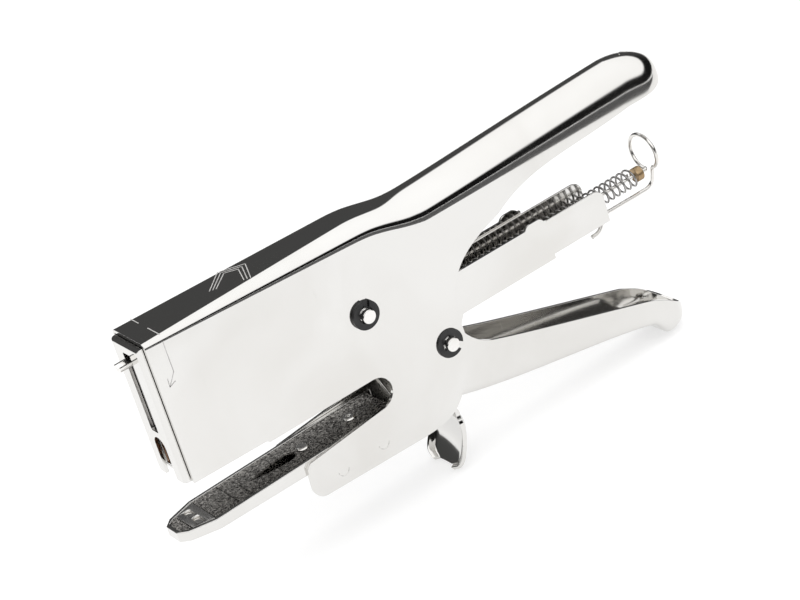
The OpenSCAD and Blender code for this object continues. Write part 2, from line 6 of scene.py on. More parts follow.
import json
import logging
import math
from dataclasses import dataclass
from enum import Enum
from typing import Iterable, Sequence

import bmesh
import bpy
from mathutils import Matrix, Vector

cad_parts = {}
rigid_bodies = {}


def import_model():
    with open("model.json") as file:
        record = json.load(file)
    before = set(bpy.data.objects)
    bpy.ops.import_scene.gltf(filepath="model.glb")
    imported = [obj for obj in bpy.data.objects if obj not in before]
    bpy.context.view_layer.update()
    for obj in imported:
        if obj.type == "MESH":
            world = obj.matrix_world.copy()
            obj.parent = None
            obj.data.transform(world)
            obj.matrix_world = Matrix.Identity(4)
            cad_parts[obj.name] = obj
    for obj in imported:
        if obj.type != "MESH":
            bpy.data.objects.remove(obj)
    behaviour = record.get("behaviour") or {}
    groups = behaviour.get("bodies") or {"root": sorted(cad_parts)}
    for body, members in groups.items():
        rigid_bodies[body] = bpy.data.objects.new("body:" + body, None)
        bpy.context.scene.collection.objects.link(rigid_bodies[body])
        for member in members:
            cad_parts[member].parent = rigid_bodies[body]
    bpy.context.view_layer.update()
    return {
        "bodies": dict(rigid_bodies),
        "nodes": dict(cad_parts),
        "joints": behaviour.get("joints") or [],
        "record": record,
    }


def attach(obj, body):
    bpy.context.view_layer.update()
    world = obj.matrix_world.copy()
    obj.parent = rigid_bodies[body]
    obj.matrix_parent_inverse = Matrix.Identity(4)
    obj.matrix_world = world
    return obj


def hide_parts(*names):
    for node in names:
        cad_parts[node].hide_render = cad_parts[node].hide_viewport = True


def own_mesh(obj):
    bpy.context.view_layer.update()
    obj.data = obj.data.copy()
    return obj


LOG = logging.getLogger("stapling_plier")
MM = 0.001
SEAM = 0.004  # points of a sheet nearer than this become one, in millimetres
SAME = 1e-4  # places nearer than this count as the same, in millimetres
Flat = tuple[float, float]
Solid = tuple[float, float, float]
Wire = tuple[bpy.types.NodeSocket, bpy.types.NodeSocket]


class Body(Enum):
    """Moving bodies of the plier."""

    FRAME = "frame"
    LEVER = "lever"
    MAGAZINE = "magazine"
    DRIVER = "driver"
    ROD = "rod"
    PUSHER = "pusher"


# ---------------------------------------------------------------- lines and points


def bezier(a: Flat, b: Flat, c: Flat, d: Flat, count: int) -> list[Flat]:
    """Gives points along a cubic curve, without its first point.

    Args:
        a, b, c, d: The curve's control points.
        count: How many points to give.

    Returns:
        The points, ending at d.
    """
    points = []
    for step in range(1, count + 1):
        t = step / count
        weights = ((1 - t) ** 3, 3 * t * (1 - t) ** 2, 3 * t * t * (1 - t), t**3)
        points.append(tuple(sum(w * p[i] for w, p in zip(weights, (a, b, c, d))) for i in range(2)))
    return points


def arc(centre: Flat, radius: float, start: float, end: float, count: int) -> list[Flat]:
    """Gives count + 1 points on an arc, its angles in degrees."""
    angles = [math.radians(start + (end - start) * i / count) for i in range(count + 1)]
    return [(centre[0] + radius * math.cos(a), centre[1] + radius * math.sin(a)) for a in angles]


def smooth(t: float) -> float:
    """Eases t from 0 to 1 with level ends."""
    t = min(1.0, max(0.0, t))
    return t * t * (3 - 2 * t)


# ---------------------------------------------------------------- finishes


def value_node(nodes: bpy.types.Nodes, kind: str, operation: str) -> bpy.types.Node:
    """Adds a maths node set to the given operation."""
    node = nodes.new(kind)
    node.operation = operation
    return node


def set_node(nodes: bpy.types.Nodes, kind: str, values: dict[str, object]) -> bpy.types.Node:
    """Adds a node and sets some of its inputs by name."""
    node = nodes.new(kind)
    for name, value in values.items():
        node.inputs[name].default_value = value
    return node


def effect_group(
    name: str, inputs: dict[str, str], outputs: dict[str, str],
) -> tuple[bpy.types.NodeTree, bpy.types.Node, bpy.types.Node]:
    """Makes an empty group for an effect that several finishes share.

    Args:
        name: The group's name.
        inputs: What goes in, each with its kind of socket.
        outputs: What comes out, each with its kind of socket.

    Returns:
        The group, its inlet node and its outlet node.
    """
    group = bpy.data.node_groups.new(name, "ShaderNodeTree")
    for way, sockets in (("INPUT", inputs), ("OUTPUT", outputs)):
        for title, kind in sockets.items():
            group.interface.new_socket(title, in_out=way, socket_type=f"NodeSocket{kind}")
    return group, group.nodes.new("NodeGroupInput"), group.nodes.new("NodeGroupOutput")


def wired(links: bpy.types.NodeLinks, pairs: Iterable[Wire]) -> None:
    """Links each output to its input."""
    for source, target in pairs:
        links.new(source, target)


def haze_group() -> bpy.types.NodeTree:
    """Makes the group for handling haze: soft cloudy patches and fine speckle.

    Returns:
        A node group with Vector, Scale and Speckle Ratio in, Haze and Speckle out.
    """
    group, inlet, outlet = effect_group(
        "handling_haze", {"Vector": "Vector", "Scale": "Float", "Speckle Ratio": "Float"},
        {"Haze": "Float", "Speckle": "Float"},
    )
    nodes = group.nodes
    cloud = set_node(nodes, "ShaderNodeTexNoise", {"Detail": 5, "Distortion": 0.6})
    fine_scale = value_node(nodes, "ShaderNodeMath", "MULTIPLY")
    speckle = set_node(nodes, "ShaderNodeTexNoise", {"Detail": 3})
    ramp = set_node(nodes, "ShaderNodeMapRange", {"From Min": 0.38, "From Max": 0.68})
    wired(group.links, (
        (inlet.outputs["Vector"], cloud.inputs["Vector"]),
        (inlet.outputs["Scale"], cloud.inputs["Scale"]),
        (inlet.outputs["Scale"], fine_scale.inputs[0]),
        (inlet.outputs["Speckle Ratio"], fine_scale.inputs[1]),
        (inlet.outputs["Vector"], speckle.inputs["Vector"]),
        (fine_scale.outputs[0], speckle.inputs["Scale"]),
        (cloud.outputs["Fac"], ramp.inputs["Value"]),
        (ramp.outputs["Result"], outlet.inputs["Haze"]),
        (speckle.outputs["Fac"], outlet.inputs["Speckle"]),
    ))
    return group


def hairline_group() -> bpy.types.NodeTree:
    """Makes the group for hairline marks: long fine scratches that come and go.

    Returns:
        A node group with Vector, Scale and Stretch in, and Marks out.
    """
    group, inlet, outlet = effect_group(
        "hairline_marks", {"Vector": "Vector", "Scale": "Float", "Stretch": "Vector"}, {"Marks": "Float"},
    )
    nodes = group.nodes
    stretch = value_node(nodes, "ShaderNodeVectorMath", "MULTIPLY")
    lines = set_node(nodes, "ShaderNodeTexNoise", {"Detail": 2, "Distortion": 0.35})
    patches = set_node(nodes, "ShaderNodeTexNoise", {"Scale": 60})
    thin = set_node(nodes, "ShaderNodeMapRange", {"From Min": 0.62, "From Max": 0.72})
    where = set_node(nodes, "ShaderNodeMapRange", {"From Min": 0.5, "From Max": 0.7})
    both = value_node(nodes, "ShaderNodeMath", "MULTIPLY")
    wired(group.links, (
        (inlet.outputs["Vector"], stretch.inputs[0]),
        (inlet.outputs["Stretch"], stretch.inputs[1]),
        (stretch.outputs[0], lines.inputs["Vector"]),
        (inlet.outputs["Scale"], lines.inputs["Scale"]),
        (inlet.outputs["Vector"], patches.inputs["Vector"]),
        (lines.outputs["Fac"], thin.inputs["Value"]),
        (patches.outputs["Fac"], where.inputs["Value"]),
        (thin.outputs["Result"], both.inputs[0]),
        (where.outputs["Result"], both.inputs[1]),
        (both.outputs[0], outlet.inputs["Marks"]),
    ))
    return group


@dataclass(frozen=True)
class Finish:
    """A metal finish: its colours, polish, handling haze, hairlines and fine relief."""

    slot: str
    clean: Solid
    worn: Solid
    polish: float
    dull: float
    metallic: float = 1.0
    haze_scale: float = 22.0
    hairline_scale: float = 900.0
    stretch: Solid = (1.0, 0.12, 0.12)
    hairline_dulls: float = 0.12
    speckle_relief: float = 0.03
    hairline_relief: float = 0.05
    relief_depth: float = 0.00002
    speckle_ratio: float = 24.0
    glow: float = 0.0

    def make(self, haze: bpy.types.NodeTree, hairline: bpy.types.NodeTree) -> bpy.types.Material:
        """Builds the material.

        Args:
            haze: The handling haze group.
            hairline: The hairline marks group.

        Returns:
            The finished material.
        """
        material = bpy.data.materials.new(self.slot)
        material.use_nodes = True
        nodes, links = material.node_tree.nodes, material.node_tree.links
        shader = nodes["Principled BSDF"]
        shader.inputs["Metallic"].default_value = self.metallic
        shader.inputs["Emission Color"].default_value = (1, 1, 1, 1)
        shader.inputs["Emission Strength"].default_value = self.glow
        place = nodes.new("ShaderNodeTexCoord")
        patches, marks = (nodes.new("ShaderNodeGroup") for _ in range(2))
        patches.node_tree, marks.node_tree = haze, hairline
        patches.inputs["Scale"].default_value = self.haze_scale
        patches.inputs["Speckle Ratio"].default_value = self.speckle_ratio
        marks.inputs["Scale"].default_value = self.hairline_scale
        marks.inputs["Stretch"].default_value = self.stretch
        for group in (patches, marks):
            links.new(place.outputs["Object"], group.inputs["Vector"])
        colour = nodes.new("ShaderNodeMix")
        colour.data_type = "RGBA"
        colour.inputs["A"].default_value = (*self.clean, 1)
        colour.inputs["B"].default_value = (*self.worn, 1)
        links.new(patches.outputs["Haze"], colour.inputs["Factor"])
        links.new(colour.outputs["Result"], shader.inputs["Base Color"])
        self._rough(nodes, links, patches, marks, shader)
        self._relief(nodes, links, patches, marks, shader)
        return material

    def _rough(
        self, nodes: bpy.types.Nodes, links: bpy.types.NodeLinks, patches: bpy.types.Node,
        marks: bpy.types.Node, shader: bpy.types.Node,
    ) -> None:
        """Feeds roughness from the haze and the hairlines."""
        spread = set_node(nodes, "ShaderNodeMapRange", {"To Min": self.polish, "To Max": self.dull})
        scratched = value_node(nodes, "ShaderNodeMath", "MULTIPLY_ADD")
        scratched.inputs[1].default_value = self.hairline_dulls
        links.new(patches.outputs["Haze"], spread.inputs["Value"])
        links.new(marks.outputs["Marks"], scratched.inputs[0])
        links.new(spread.outputs["Result"], scratched.inputs[2])
        links.new(scratched.outputs[0], shader.inputs["Roughness"])

    def _relief(
        self, nodes: bpy.types.Nodes, links: bpy.types.NodeLinks, patches: bpy.types.Node,
        marks: bpy.types.Node, shader: bpy.types.Node,
    ) -> None:
        """Feeds the surface's fine relief from the speckle and the hairlines."""
        scaled = value_node(nodes, "ShaderNodeMath", "MULTIPLY")
        scaled.inputs[1].default_value = self.speckle_relief
        joined = value_node(nodes, "ShaderNodeMath", "MULTIPLY_ADD")
        joined.inputs[1].default_value = -self.hairline_relief
        bump = set_node(nodes, "ShaderNodeBump", {"Strength": 1.0, "Distance": self.relief_depth})
        links.new(patches.outputs["Speckle"], scaled.inputs[0])
        links.new(marks.outputs["Marks"], joined.inputs[0])
        links.new(scaled.outputs[0], joined.inputs[2])
        links.new(joined.outputs[0], bump.inputs["Height"])
        links.new(bump.outputs["Normal"], shader.inputs["Normal"])


NICKEL = Finish("nickel", (0.73, 0.722, 0.705), (0.68, 0.668, 0.645), 0.07, 0.13)
BRIGHT_STEEL = Finish("bright_steel", (0.82, 0.81, 0.79), (0.70, 0.68, 0.65), 0.14, 0.24, haze_scale=60)
SPRING_STEEL = Finish("spring_steel", (0.42, 0.41, 0.40), (0.28, 0.27, 0.27), 0.24, 0.36, haze_scale=90)
DARK_STEEL = Finish("dark_steel", (0.26, 0.26, 0.27), (0.16, 0.16, 0.17), 0.28, 0.42, haze_scale=70)
CRACKLE = Finish(
    "dark_crackle", (0.07, 0.066, 0.063), (0.62, 0.60, 0.57), 0.16, 0.4, haze_scale=1100,
    speckle_relief=1.0, hairline_relief=0.2, relief_depth=0.0005, speckle_ratio=1.6,
)
BLACK_OXIDE = Finish(
    "black_oxide", (0.012, 0.012, 0.013), (0.035, 0.034, 0.034), 0.24, 0.4, metallic=0.4, haze_scale=160,
)
BRONZE = Finish(
    "bronze", (0.46, 0.33, 0.19), (0.28, 0.19, 0.11), 0.3, 0.5, haze_scale=120, speckle_relief=0.2,
)
COPPER_WIRE = Finish("copper_wire", (0.60, 0.36, 0.22), (0.40, 0.24, 0.16), 0.22, 0.4, haze_scale=140)
ETCHED = Finish("etched_mark", (0.52, 0.51, 0.50), (0.40, 0.39, 0.38), 0.6, 0.8, metallic=0.1, haze_scale=300)
FLOOR = Finish(
    "studio_floor", (0.50, 0.50, 0.50), (0.48, 0.48, 0.48), 0.7, 0.8, metallic=0.0, haze_scale=2,
    glow=0.55, hairline_dulls=0.0, speckle_relief=0.0, hairline_relief=0.0,
)


class Workshop:
    """Makes the finishes once, and turns meshes into pieces that ride on the frame."""

    def __init__(self, frame: dict) -> None:
        """Keeps the loaded frame and makes the shared node groups."""
        self.frame = frame
        self.haze = haze_group()
        self.hairline = hairline_group()
        self.made: dict[str, bpy.types.Material] = {}

    def finish(self, finish: Finish) -> bpy.types.Material:
        """Gives the material of a finish, made the first time it is asked for."""
        if finish.slot not in self.made:
            self.made[finish.slot] = finish.make(self.haze, self.hairline)
        return self.made[finish.slot]

    def piece(
        self, name: str, bm: bmesh.types.BMesh, body: Body, finish: Finish, nodes: Iterable[str] = (),
        wall: float = 0.0, round_off: float = 0.0, segments: int = 2, angle: float = 40.0, slot: str = "",
    ) -> bpy.types.Object:
        """Turns a mesh into a piece on a body.

        Args:
            name: The piece's name.
            bm: The mesh, in millimetres, which is used up.
            body: The body the piece moves with.
            finish: Its finish.
            nodes: The CAD nodes that it stands for.
            wall: Thickness of sheet to give it inwards, or 0.
            round_off: Radius worked along its sharp edges, or 0.
            segments: Steps across each rounded edge.
            angle: Edges sharper than this are rounded, in degrees.
            slot: Not used.

        Returns:
            The finished object.
        """
        bmesh.ops.scale(bm, vec=(MM, MM, MM), verts=bm.verts)
        for face in bm.faces:
            face.smooth = True
        mesh = bpy.data.meshes.new(name)
        bm.to_mesh(mesh)
        bm.free()
        piece = bpy.data.objects.new(name, mesh)
        bpy.context.scene.collection.objects.link(piece)
        mesh.materials.append(self.finish(finish))
        if wall:
            sheet = piece.modifiers.new("sheet", "SOLIDIFY")
            sheet.thickness = wall * MM
            sheet.offset = -1
            sheet.use_even_offset = True
            sheet.use_quality_normals = True
        if round_off:
            edge = piece.modifiers.new("rounded", "BEVEL")
            edge.width = round_off * MM
            edge.segments = segments
            edge.limit_method = "ANGLE"
            edge.angle_limit = math.radians(angle)
            edge.miter_outer = "MITER_ARC"
        weight = piece.modifiers.new("flat_faces", "WEIGHTED_NORMAL")
        weight.keep_sharp = True
        weight.weight = 60
        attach(piece, body.value)
        if nodes:
            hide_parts(*nodes)
        LOG.info("%s on %s", name, body.value)
        return piece

    def softened(self, node: str, body: Body, finish: Finish, round_off: float, segments: int = 2) -> None:
        """Replaces a CAD node with a copy whose edges are rounded.

        Args:
            node: The CAD node.
            body: The body it moves with.
            finish: Its finish.
            round_off: Radius worked along its edges.
            segments: Steps across each rounded edge.
        """
        bm = bmesh.new()
        bm.from_mesh(self.frame["nodes"][node].data)
        bmesh.ops.scale(bm, vec=(1 / MM, 1 / MM, 1 / MM), verts=bm.verts)
        bmesh.ops.remove_doubles(bm, verts=bm.verts, dist=0.002)
        bmesh.ops.dissolve_limit(bm, angle_limit=math.radians(0.5), verts=bm.verts, edges=bm.edges)
        self.piece(f"{node}_finished", bm, body, finish, [node], round_off=round_off, segments=segments,
                   angle=34)

    def wire(
        self, name: str, points: Sequence[Solid], diameter: float, body: Body, finish: Finish,
        nodes: Iterable[str] = (), curved: bool = True, sides: int = 3, steps: int = 4,
    ) -> bpy.types.Object:
        """Makes a round wire along a line of points.

        Args:
            name: The piece's name.
            points: Points along its middle.
            diameter: The wire's diameter.
            body: The body it moves with.
            finish: Its finish.
            nodes: The CAD nodes that it stands for.
            curved: Whether it curves smoothly through the points.
            sides: Fineness round the wire.
            steps: Fineness between two points.

        Returns:
            The finished object.
        """
        route = bpy.data.curves.new(name, "CURVE")
        route.dimensions = "3D"
        route.bevel_depth = diameter / 2
        route.bevel_resolution = sides
        route.use_fill_caps = True
        if curved:
            line = route.splines.new("BEZIER")
            line.bezier_points.add(len(points) - 1)
            for knot, point in zip(line.bezier_points, points):
                knot.co = point
                knot.handle_left_type = knot.handle_right_type = "AUTO"
            line.resolution_u = steps
        else:
            line = route.splines.new("POLY")
            line.points.add(len(points) - 1)
            for knot, point in zip(line.points, points):
                knot.co = (*point, 1)
        holder = bpy.data.objects.new(name, route)
        bpy.context.scene.collection.objects.link(holder)
        bpy.context.view_layer.update()
        drawn = bpy.data.meshes.new_from_object(holder.evaluated_get(bpy.context.evaluated_depsgraph_get()))
        bm = bmesh.new()
        bm.from_mesh(drawn)
        bpy.data.objects.remove(holder)
        bpy.data.meshes.remove(drawn)
        bpy.data.curves.remove(route)
        bmesh.ops.remove_doubles(bm, verts=bm.verts, dist=0.001)
        return self.piece(name, bm, body, finish, nodes)


# ---------------------------------------------------------------- sheet work


def plate(bm: bmesh.types.BMesh, rings: Sequence[Sequence[Solid]]) -> None:
    """Fills a flat plate whose first ring is its outline and whose others are its holes."""
    edges = []
    for ring in rings:
        corners = [bm.verts.new(point) for point in ring]
        edges += [bm.edges.new((a, b)) for a, b in zip(corners, corners[1:] + corners[:1])]
    bmesh.ops.triangle_fill(bm, use_beauty=True, use_dissolve=False, edges=edges)


def drawn_verts(result: dict) -> list[bmesh.types.BMVert]:
    """Gives the new points that an extrusion made."""
    return [item for item in result["geom"] if isinstance(item, bmesh.types.BMVert)]


def across(points: Iterable[Flat], y: float) -> list[Solid]:
    """Stands a side outline, drawn as (x, z), upright at y."""
    return [(x, y, z) for x, z in points]


def lofted(bm: bmesh.types.BMesh, rows: Sequence[Sequence[Solid]]) -> None:
    """Bends a grid of faces to rows of points, all of the same length.

    Args:
        bm: The mesh that gets the grid.
        rows: The rows of points, one for each line of the grid.
    """
    wide, high = len(rows[0]), len(rows)
    grid = bmesh.ops.create_grid(bm, x_segments=wide - 1, y_segments=high - 1, size=0.5)
    order = sorted(grid["verts"], key=lambda v: (round((v.co.y + 0.5) * (high - 1)), v.co.x))
    for index, vert in enumerate(order):
        vert.co = rows[index // wide][index % wide]


def joined(bm: bmesh.types.BMesh) -> None:
    """Closes the seams of a sheet and turns its faces outwards."""
    bmesh.ops.remove_doubles(bm, verts=bm.verts, dist=SEAM)
    bmesh.ops.dissolve_degenerate(bm, edges=bm.edges, dist=0.002)
    bmesh.ops.recalc_face_normals(bm, faces=bm.faces)


@dataclass
class Pivots:
    """Places and sizes of the two pivots and of the driver's cross pin, seen from the side."""

    lever: Flat = (77.5, 43.0)
    magazine: Flat = (105.0, 16.4)
    cross: Flat = (8.0, 58.0)
    pin_d: float = 5.1
    cross_d: float = 4.04


@dataclass
class Shell:
    """Pressed shell: head, neck and upper grip in one folded sheet, with its marks."""

    half: float = 11.0
    wall: float = 1.3
    top: float = 74.0
    head_l: float = 92.0
    nose_r: float = 1.9
    head_r: float = 6.8
    grip_r: float = 10.4
    grip_depth: float = 14.6
    crown: float = 0.3
    neck_x: Flat = (82.0, 106.0)
    neck_dip: float = 2.3
    grip_top: float = 76.4
    grip_x: float = 221.0
    end_x: float = 201.0
    end_drop: float = 10.0
    skirt: float = 60.9
    skirt_lift: float = 2.6
    plate_z: float = 21.0
    throat_z: float = 19.5
    jaw_drop: float = 11.0
    jaw_x: float = 39.0
    rear_x: float = 112.0
    shoulder_steps: int = 12
    top_steps: int = 6
    press_marks: tuple[Flat, Flat] = ((52.0, -4.9), (69.4, -4.2))
    press_mark_r: float = 2.1
    press_mark_w: float = 0.3
    grip_mark: Flat = (211.0, -1.5)
    grip_mark_r: float = 2.4
    grip_mark_w: float = 0.35
    etch_w: float = 0.35
    etch_lift: float = 0.015
    sign_pitch: float = 1.15
    sign_w: float = 0.34

    def crest(self) -> list[Flat]:
        """Gives the top line as far as the round end of the grip."""
        neck = self.top - self.neck_dip
        start, end = self.neck_x
        flat = [(x, self.top) for x in (0.0, 2.0, 12.0, 24.0, 36.0, 48.0, 60.0, 72.0, start)]
        down = bezier(flat[-1], (start + 10, self.top), (end - 8, neck), (end, neck), 14)
        up = bezier(down[-1], (end + 16, neck), (self.head_l + 60, self.grip_top - 2),
                    (self.end_x, self.grip_top), 28)
        return flat + down + up

    def section(self, x: float, z: float, half: float) -> list[Solid]:
        """Gives one section over the top, from the near shoulder to the far one.

        Args:
            x: Distance from the nose.
            z: Height of the top line there.
            half: Half of the width there.

        Returns:
            The section's points.
        """
        ease = smooth((x - self.head_l + 4) / 22)
        head = self.nose_r + (self.head_r - self.nose_r) * min(1.0, max(0.0, x / self.head_l))
        radius = min(head + (self.grip_r - head) * ease, half * 0.95)
        depth = head + (self.grip_depth - head) * smooth((x - self.head_l + 4) / 50)
        depth = min(depth, z - self.end_skirt(x) - 0.8)
        crown = self.crown * ease
        near = []
        for step in range(self.shoulder_steps + 1):
            angle = math.pi / 2 * step / self.shoulder_steps
            near.append((-half + radius * (1 - math.cos(angle)), z - depth * (1 - math.sin(angle))))
        flat = half - radius
        middle = [(-flat + 2 * flat * i / self.top_steps, z) for i in range(1, self.top_steps)]
        points = near + middle + [(-y, level) for y, level in reversed(near)]
        return [(x, y, level - crown * (y / max(half, 0.01)) ** 2) for y, level in points]

    def end_stations(self) -> list[tuple[float, float, float]]:
        """Gives x, top height and half width along the grip's round end."""
        centre = self.grip_x - self.half
        along = [self.end_x + (centre - self.end_x) * i / 5 for i in range(6)]
        along += [centre + self.half * math.sin(math.pi / 2 * i / 12) for i in range(1, 13)]
        stations = []
        for x in along:
            t = (x - self.end_x) / (self.grip_x - self.end_x)
            z = self.grip_top - self.end_drop * (1 - math.sqrt(max(0.0, 1 - t * t)))
            half = math.sqrt(max(0.0, self.half**2 - max(0.0, x - centre) ** 2))
            stations.append((x, z, half))
        return stations

    def end_skirt(self, x: float) -> float:
        """Gives the height of the grip's lower rim near its end."""
        lift = max(0.0, (x - self.end_x - 4) / (self.grip_x - self.end_x - 4))
        return self.skirt + self.skirt_lift * lift**2

    def lower_edge(self, pivots: Pivots) -> list[Flat]:
        """Gives the rim from the grip's skirt down to the heel and forwards to the nose."""
        (p1x, p1z), (p2x, p2z) = pivots.lever, pivots.magazine
        skirt = bezier(
            (self.end_x, self.skirt), (self.end_x - 30, self.skirt - 3.5), (p2x + 50, self.skirt - 0.5),
            (p2x + 33, self.skirt - 10.5), 16,
        )
        rear, low = self.rear_x, -self.jaw_drop
        skirt += bezier(skirt[-1], (p2x + 18, self.skirt - 15), (rear, p1z - 2), (rear - 0.5, p2z + 7), 18)
        skirt += bezier(skirt[-1], (rear + 0.5, p2z - 6), (rear, p2z - 10), (rear - 9, p2z - 21.5), 12)
        skirt += bezier(skirt[-1], (rear - 14, low + 0.4), (rear - 19, low), (rear - 28, low), 12)
        jaw = arc((self.jaw_x + 5, 1 - self.jaw_drop * 0.55), 5, 265, 180, 8)
        jaw += [(self.jaw_x + 0.4, 2.6), (self.jaw_x + 2, 4.2)]
        throat = arc((73.0, 13.5), 6, -90, 90, 18)
        return skirt + jaw + throat + [(30, self.throat_z), (29, self.plate_z - 0.6), (0, self.plate_z)]

    def build(self, shop: Workshop, pivots: Pivots) -> None:
        """Makes the shell: two side plates, the cap over them and the grip's round end."""
        bm = bmesh.new()
        crest = self.crest()
        cap = [self.section(x, z, self.half) for x, z in crest]
        lofted(bm, cap)
        stations = self.end_stations()
        rows = []
        for x, z, half in stations:
            over = self.section(x, z, half)
            low, high = self.end_skirt(x), over[0][2]
            wall = [low + (high - low) * i / 6 for i in range(6)]
            near = [(x, -half, level) for level in wall]
            rows.append(near + over + [(x, half, level) for level in reversed(wall)])
        lofted(bm, rows)
        shoulder = [(x, over[0][2]) for (x, _), over in zip(crest, cap)]
        wall = [(self.end_x, point[2]) for point in reversed(rows[0][:6])]
        outline = shoulder + wall + self.lower_edge(pivots)
        for y in (-self.half, self.half):
            holes = [arc(p, pivots.pin_d / 2, 0, 345, 23) for p in (pivots.lever, pivots.magazine)]
            plate(bm, [across(outline, y)] + [across(hole, y) for hole in holes])
        joined(bm)
        shop.piece("body_shell_pressed", bm, Body.FRAME, NICKEL, ["body_shell"], wall=self.wall,
                   round_off=0.28, segments=3)
        self.marks(shop)

    def marks(self, shop: Workshop) -> None:
        """Makes the pressed arcs, the etched guide line, its arrow and the staple sign."""
        for index, place in enumerate(self.press_marks):
            points = across(arc(place, self.press_mark_r, 185, 355, 14), -self.half + 0.02)
            shop.wire(f"press_mark_{index}", points, self.press_mark_w, Body.FRAME, NICKEL, curved=False,
                      sides=2)
        ring = arc(self.grip_mark, self.grip_mark_r, 40, 180, 14)
        points = [(x, y, self._end_level(x, y)) for x, y in ring]
        shop.wire("grip_press_mark", points, self.grip_mark_w, Body.FRAME, NICKEL, curved=False, sides=2)
        bm = bmesh.new()
        over, lift = self.etch_w, self.etch_lift
        level = self.top + lift
        for a, b in ((10.2, 4.5), (-1.7, -9.2)):
            stroke(bm, (7.0, a, level), (7.0, b, level), over, 2)
        self._staple_sign(bm, level)
        side = -self.half - lift
        bend, tip = (6.6, 60.6), (3.6, 56.4)
        for (x0, z0), (x1, z1) in (((6.6, 71.6), bend), (bend, tip), (tip, (3.7, 59.4)), (tip, (6.0, 57.4))):
            stroke(bm, (x0, side, z0), (x1, side, z1), over * 0.8, 1)
        shop.piece("etched_guides", bm, Body.FRAME, ETCHED, slot="black_oxide")

    def _end_level(self, x: float, y: float) -> float:
        """Gives the height of the grip's top near its end."""
        t = (x - self.end_x) / (self.grip_x - self.end_x)
        z = self.grip_top - self.end_drop * (1 - math.sqrt(max(0.0, 1 - t * t)))
        return z - self.crown * (y / self.half) ** 2 - 0.02

    def _staple_sign(self, bm: bmesh.types.BMesh, level: float) -> None:
        """Etches the outline of a staple across the head's top."""
        feet = (Vector((31.9, -0.6)), Vector((44.6, -6.6)))
        crown = (Vector((40.6, 8.4)), Vector((49.0, 3.9)))
        inward = [(feet[1 - side] - feet[side]).normalized() for side in (0, 1)]
        down = ((feet[0] - crown[0]) + (feet[1] - crown[1])).normalized()
        for step in (0.0, self.sign_pitch, 2 * self.sign_pitch):
            line = [feet[0] + inward[0] * step, crown[0] + (inward[0] + down) * step,
                    crown[1] + (inward[1] + down) * step, feet[1] + inward[1] * step]
            for a, b in zip(line, line[1:]):
                stroke(bm, (*a, level), (*b, level), self.sign_w, 2)


def stroke(bm: bmesh.types.BMesh, start: Solid, end: Solid, width: float, flat_axis: int) -> None:
    """Adds one thin etched stroke that lies on a surface.

    Args:
        bm: The mesh that gets the stroke.
        start: One end.
        end: The other end.
        width: The stroke's width.
        flat_axis: The axis that the surface faces, 1 for Y and 2 for Z.
    """
    a, b = Vector(start), Vector(end)
    along = (b - a).normalized()
    up = Vector([1.0 if i == flat_axis else 0.0 for i in range(3)])
    turn = Matrix((along, up.cross(along), up)).transposed().to_4x4()
    size = Matrix.Diagonal(((b - a).length + width * 0.6, width, 0.03, 1))
    bmesh.ops.create_cube(bm, size=1, matrix=Matrix.Translation((a + b) / 2) @ turn @ size)


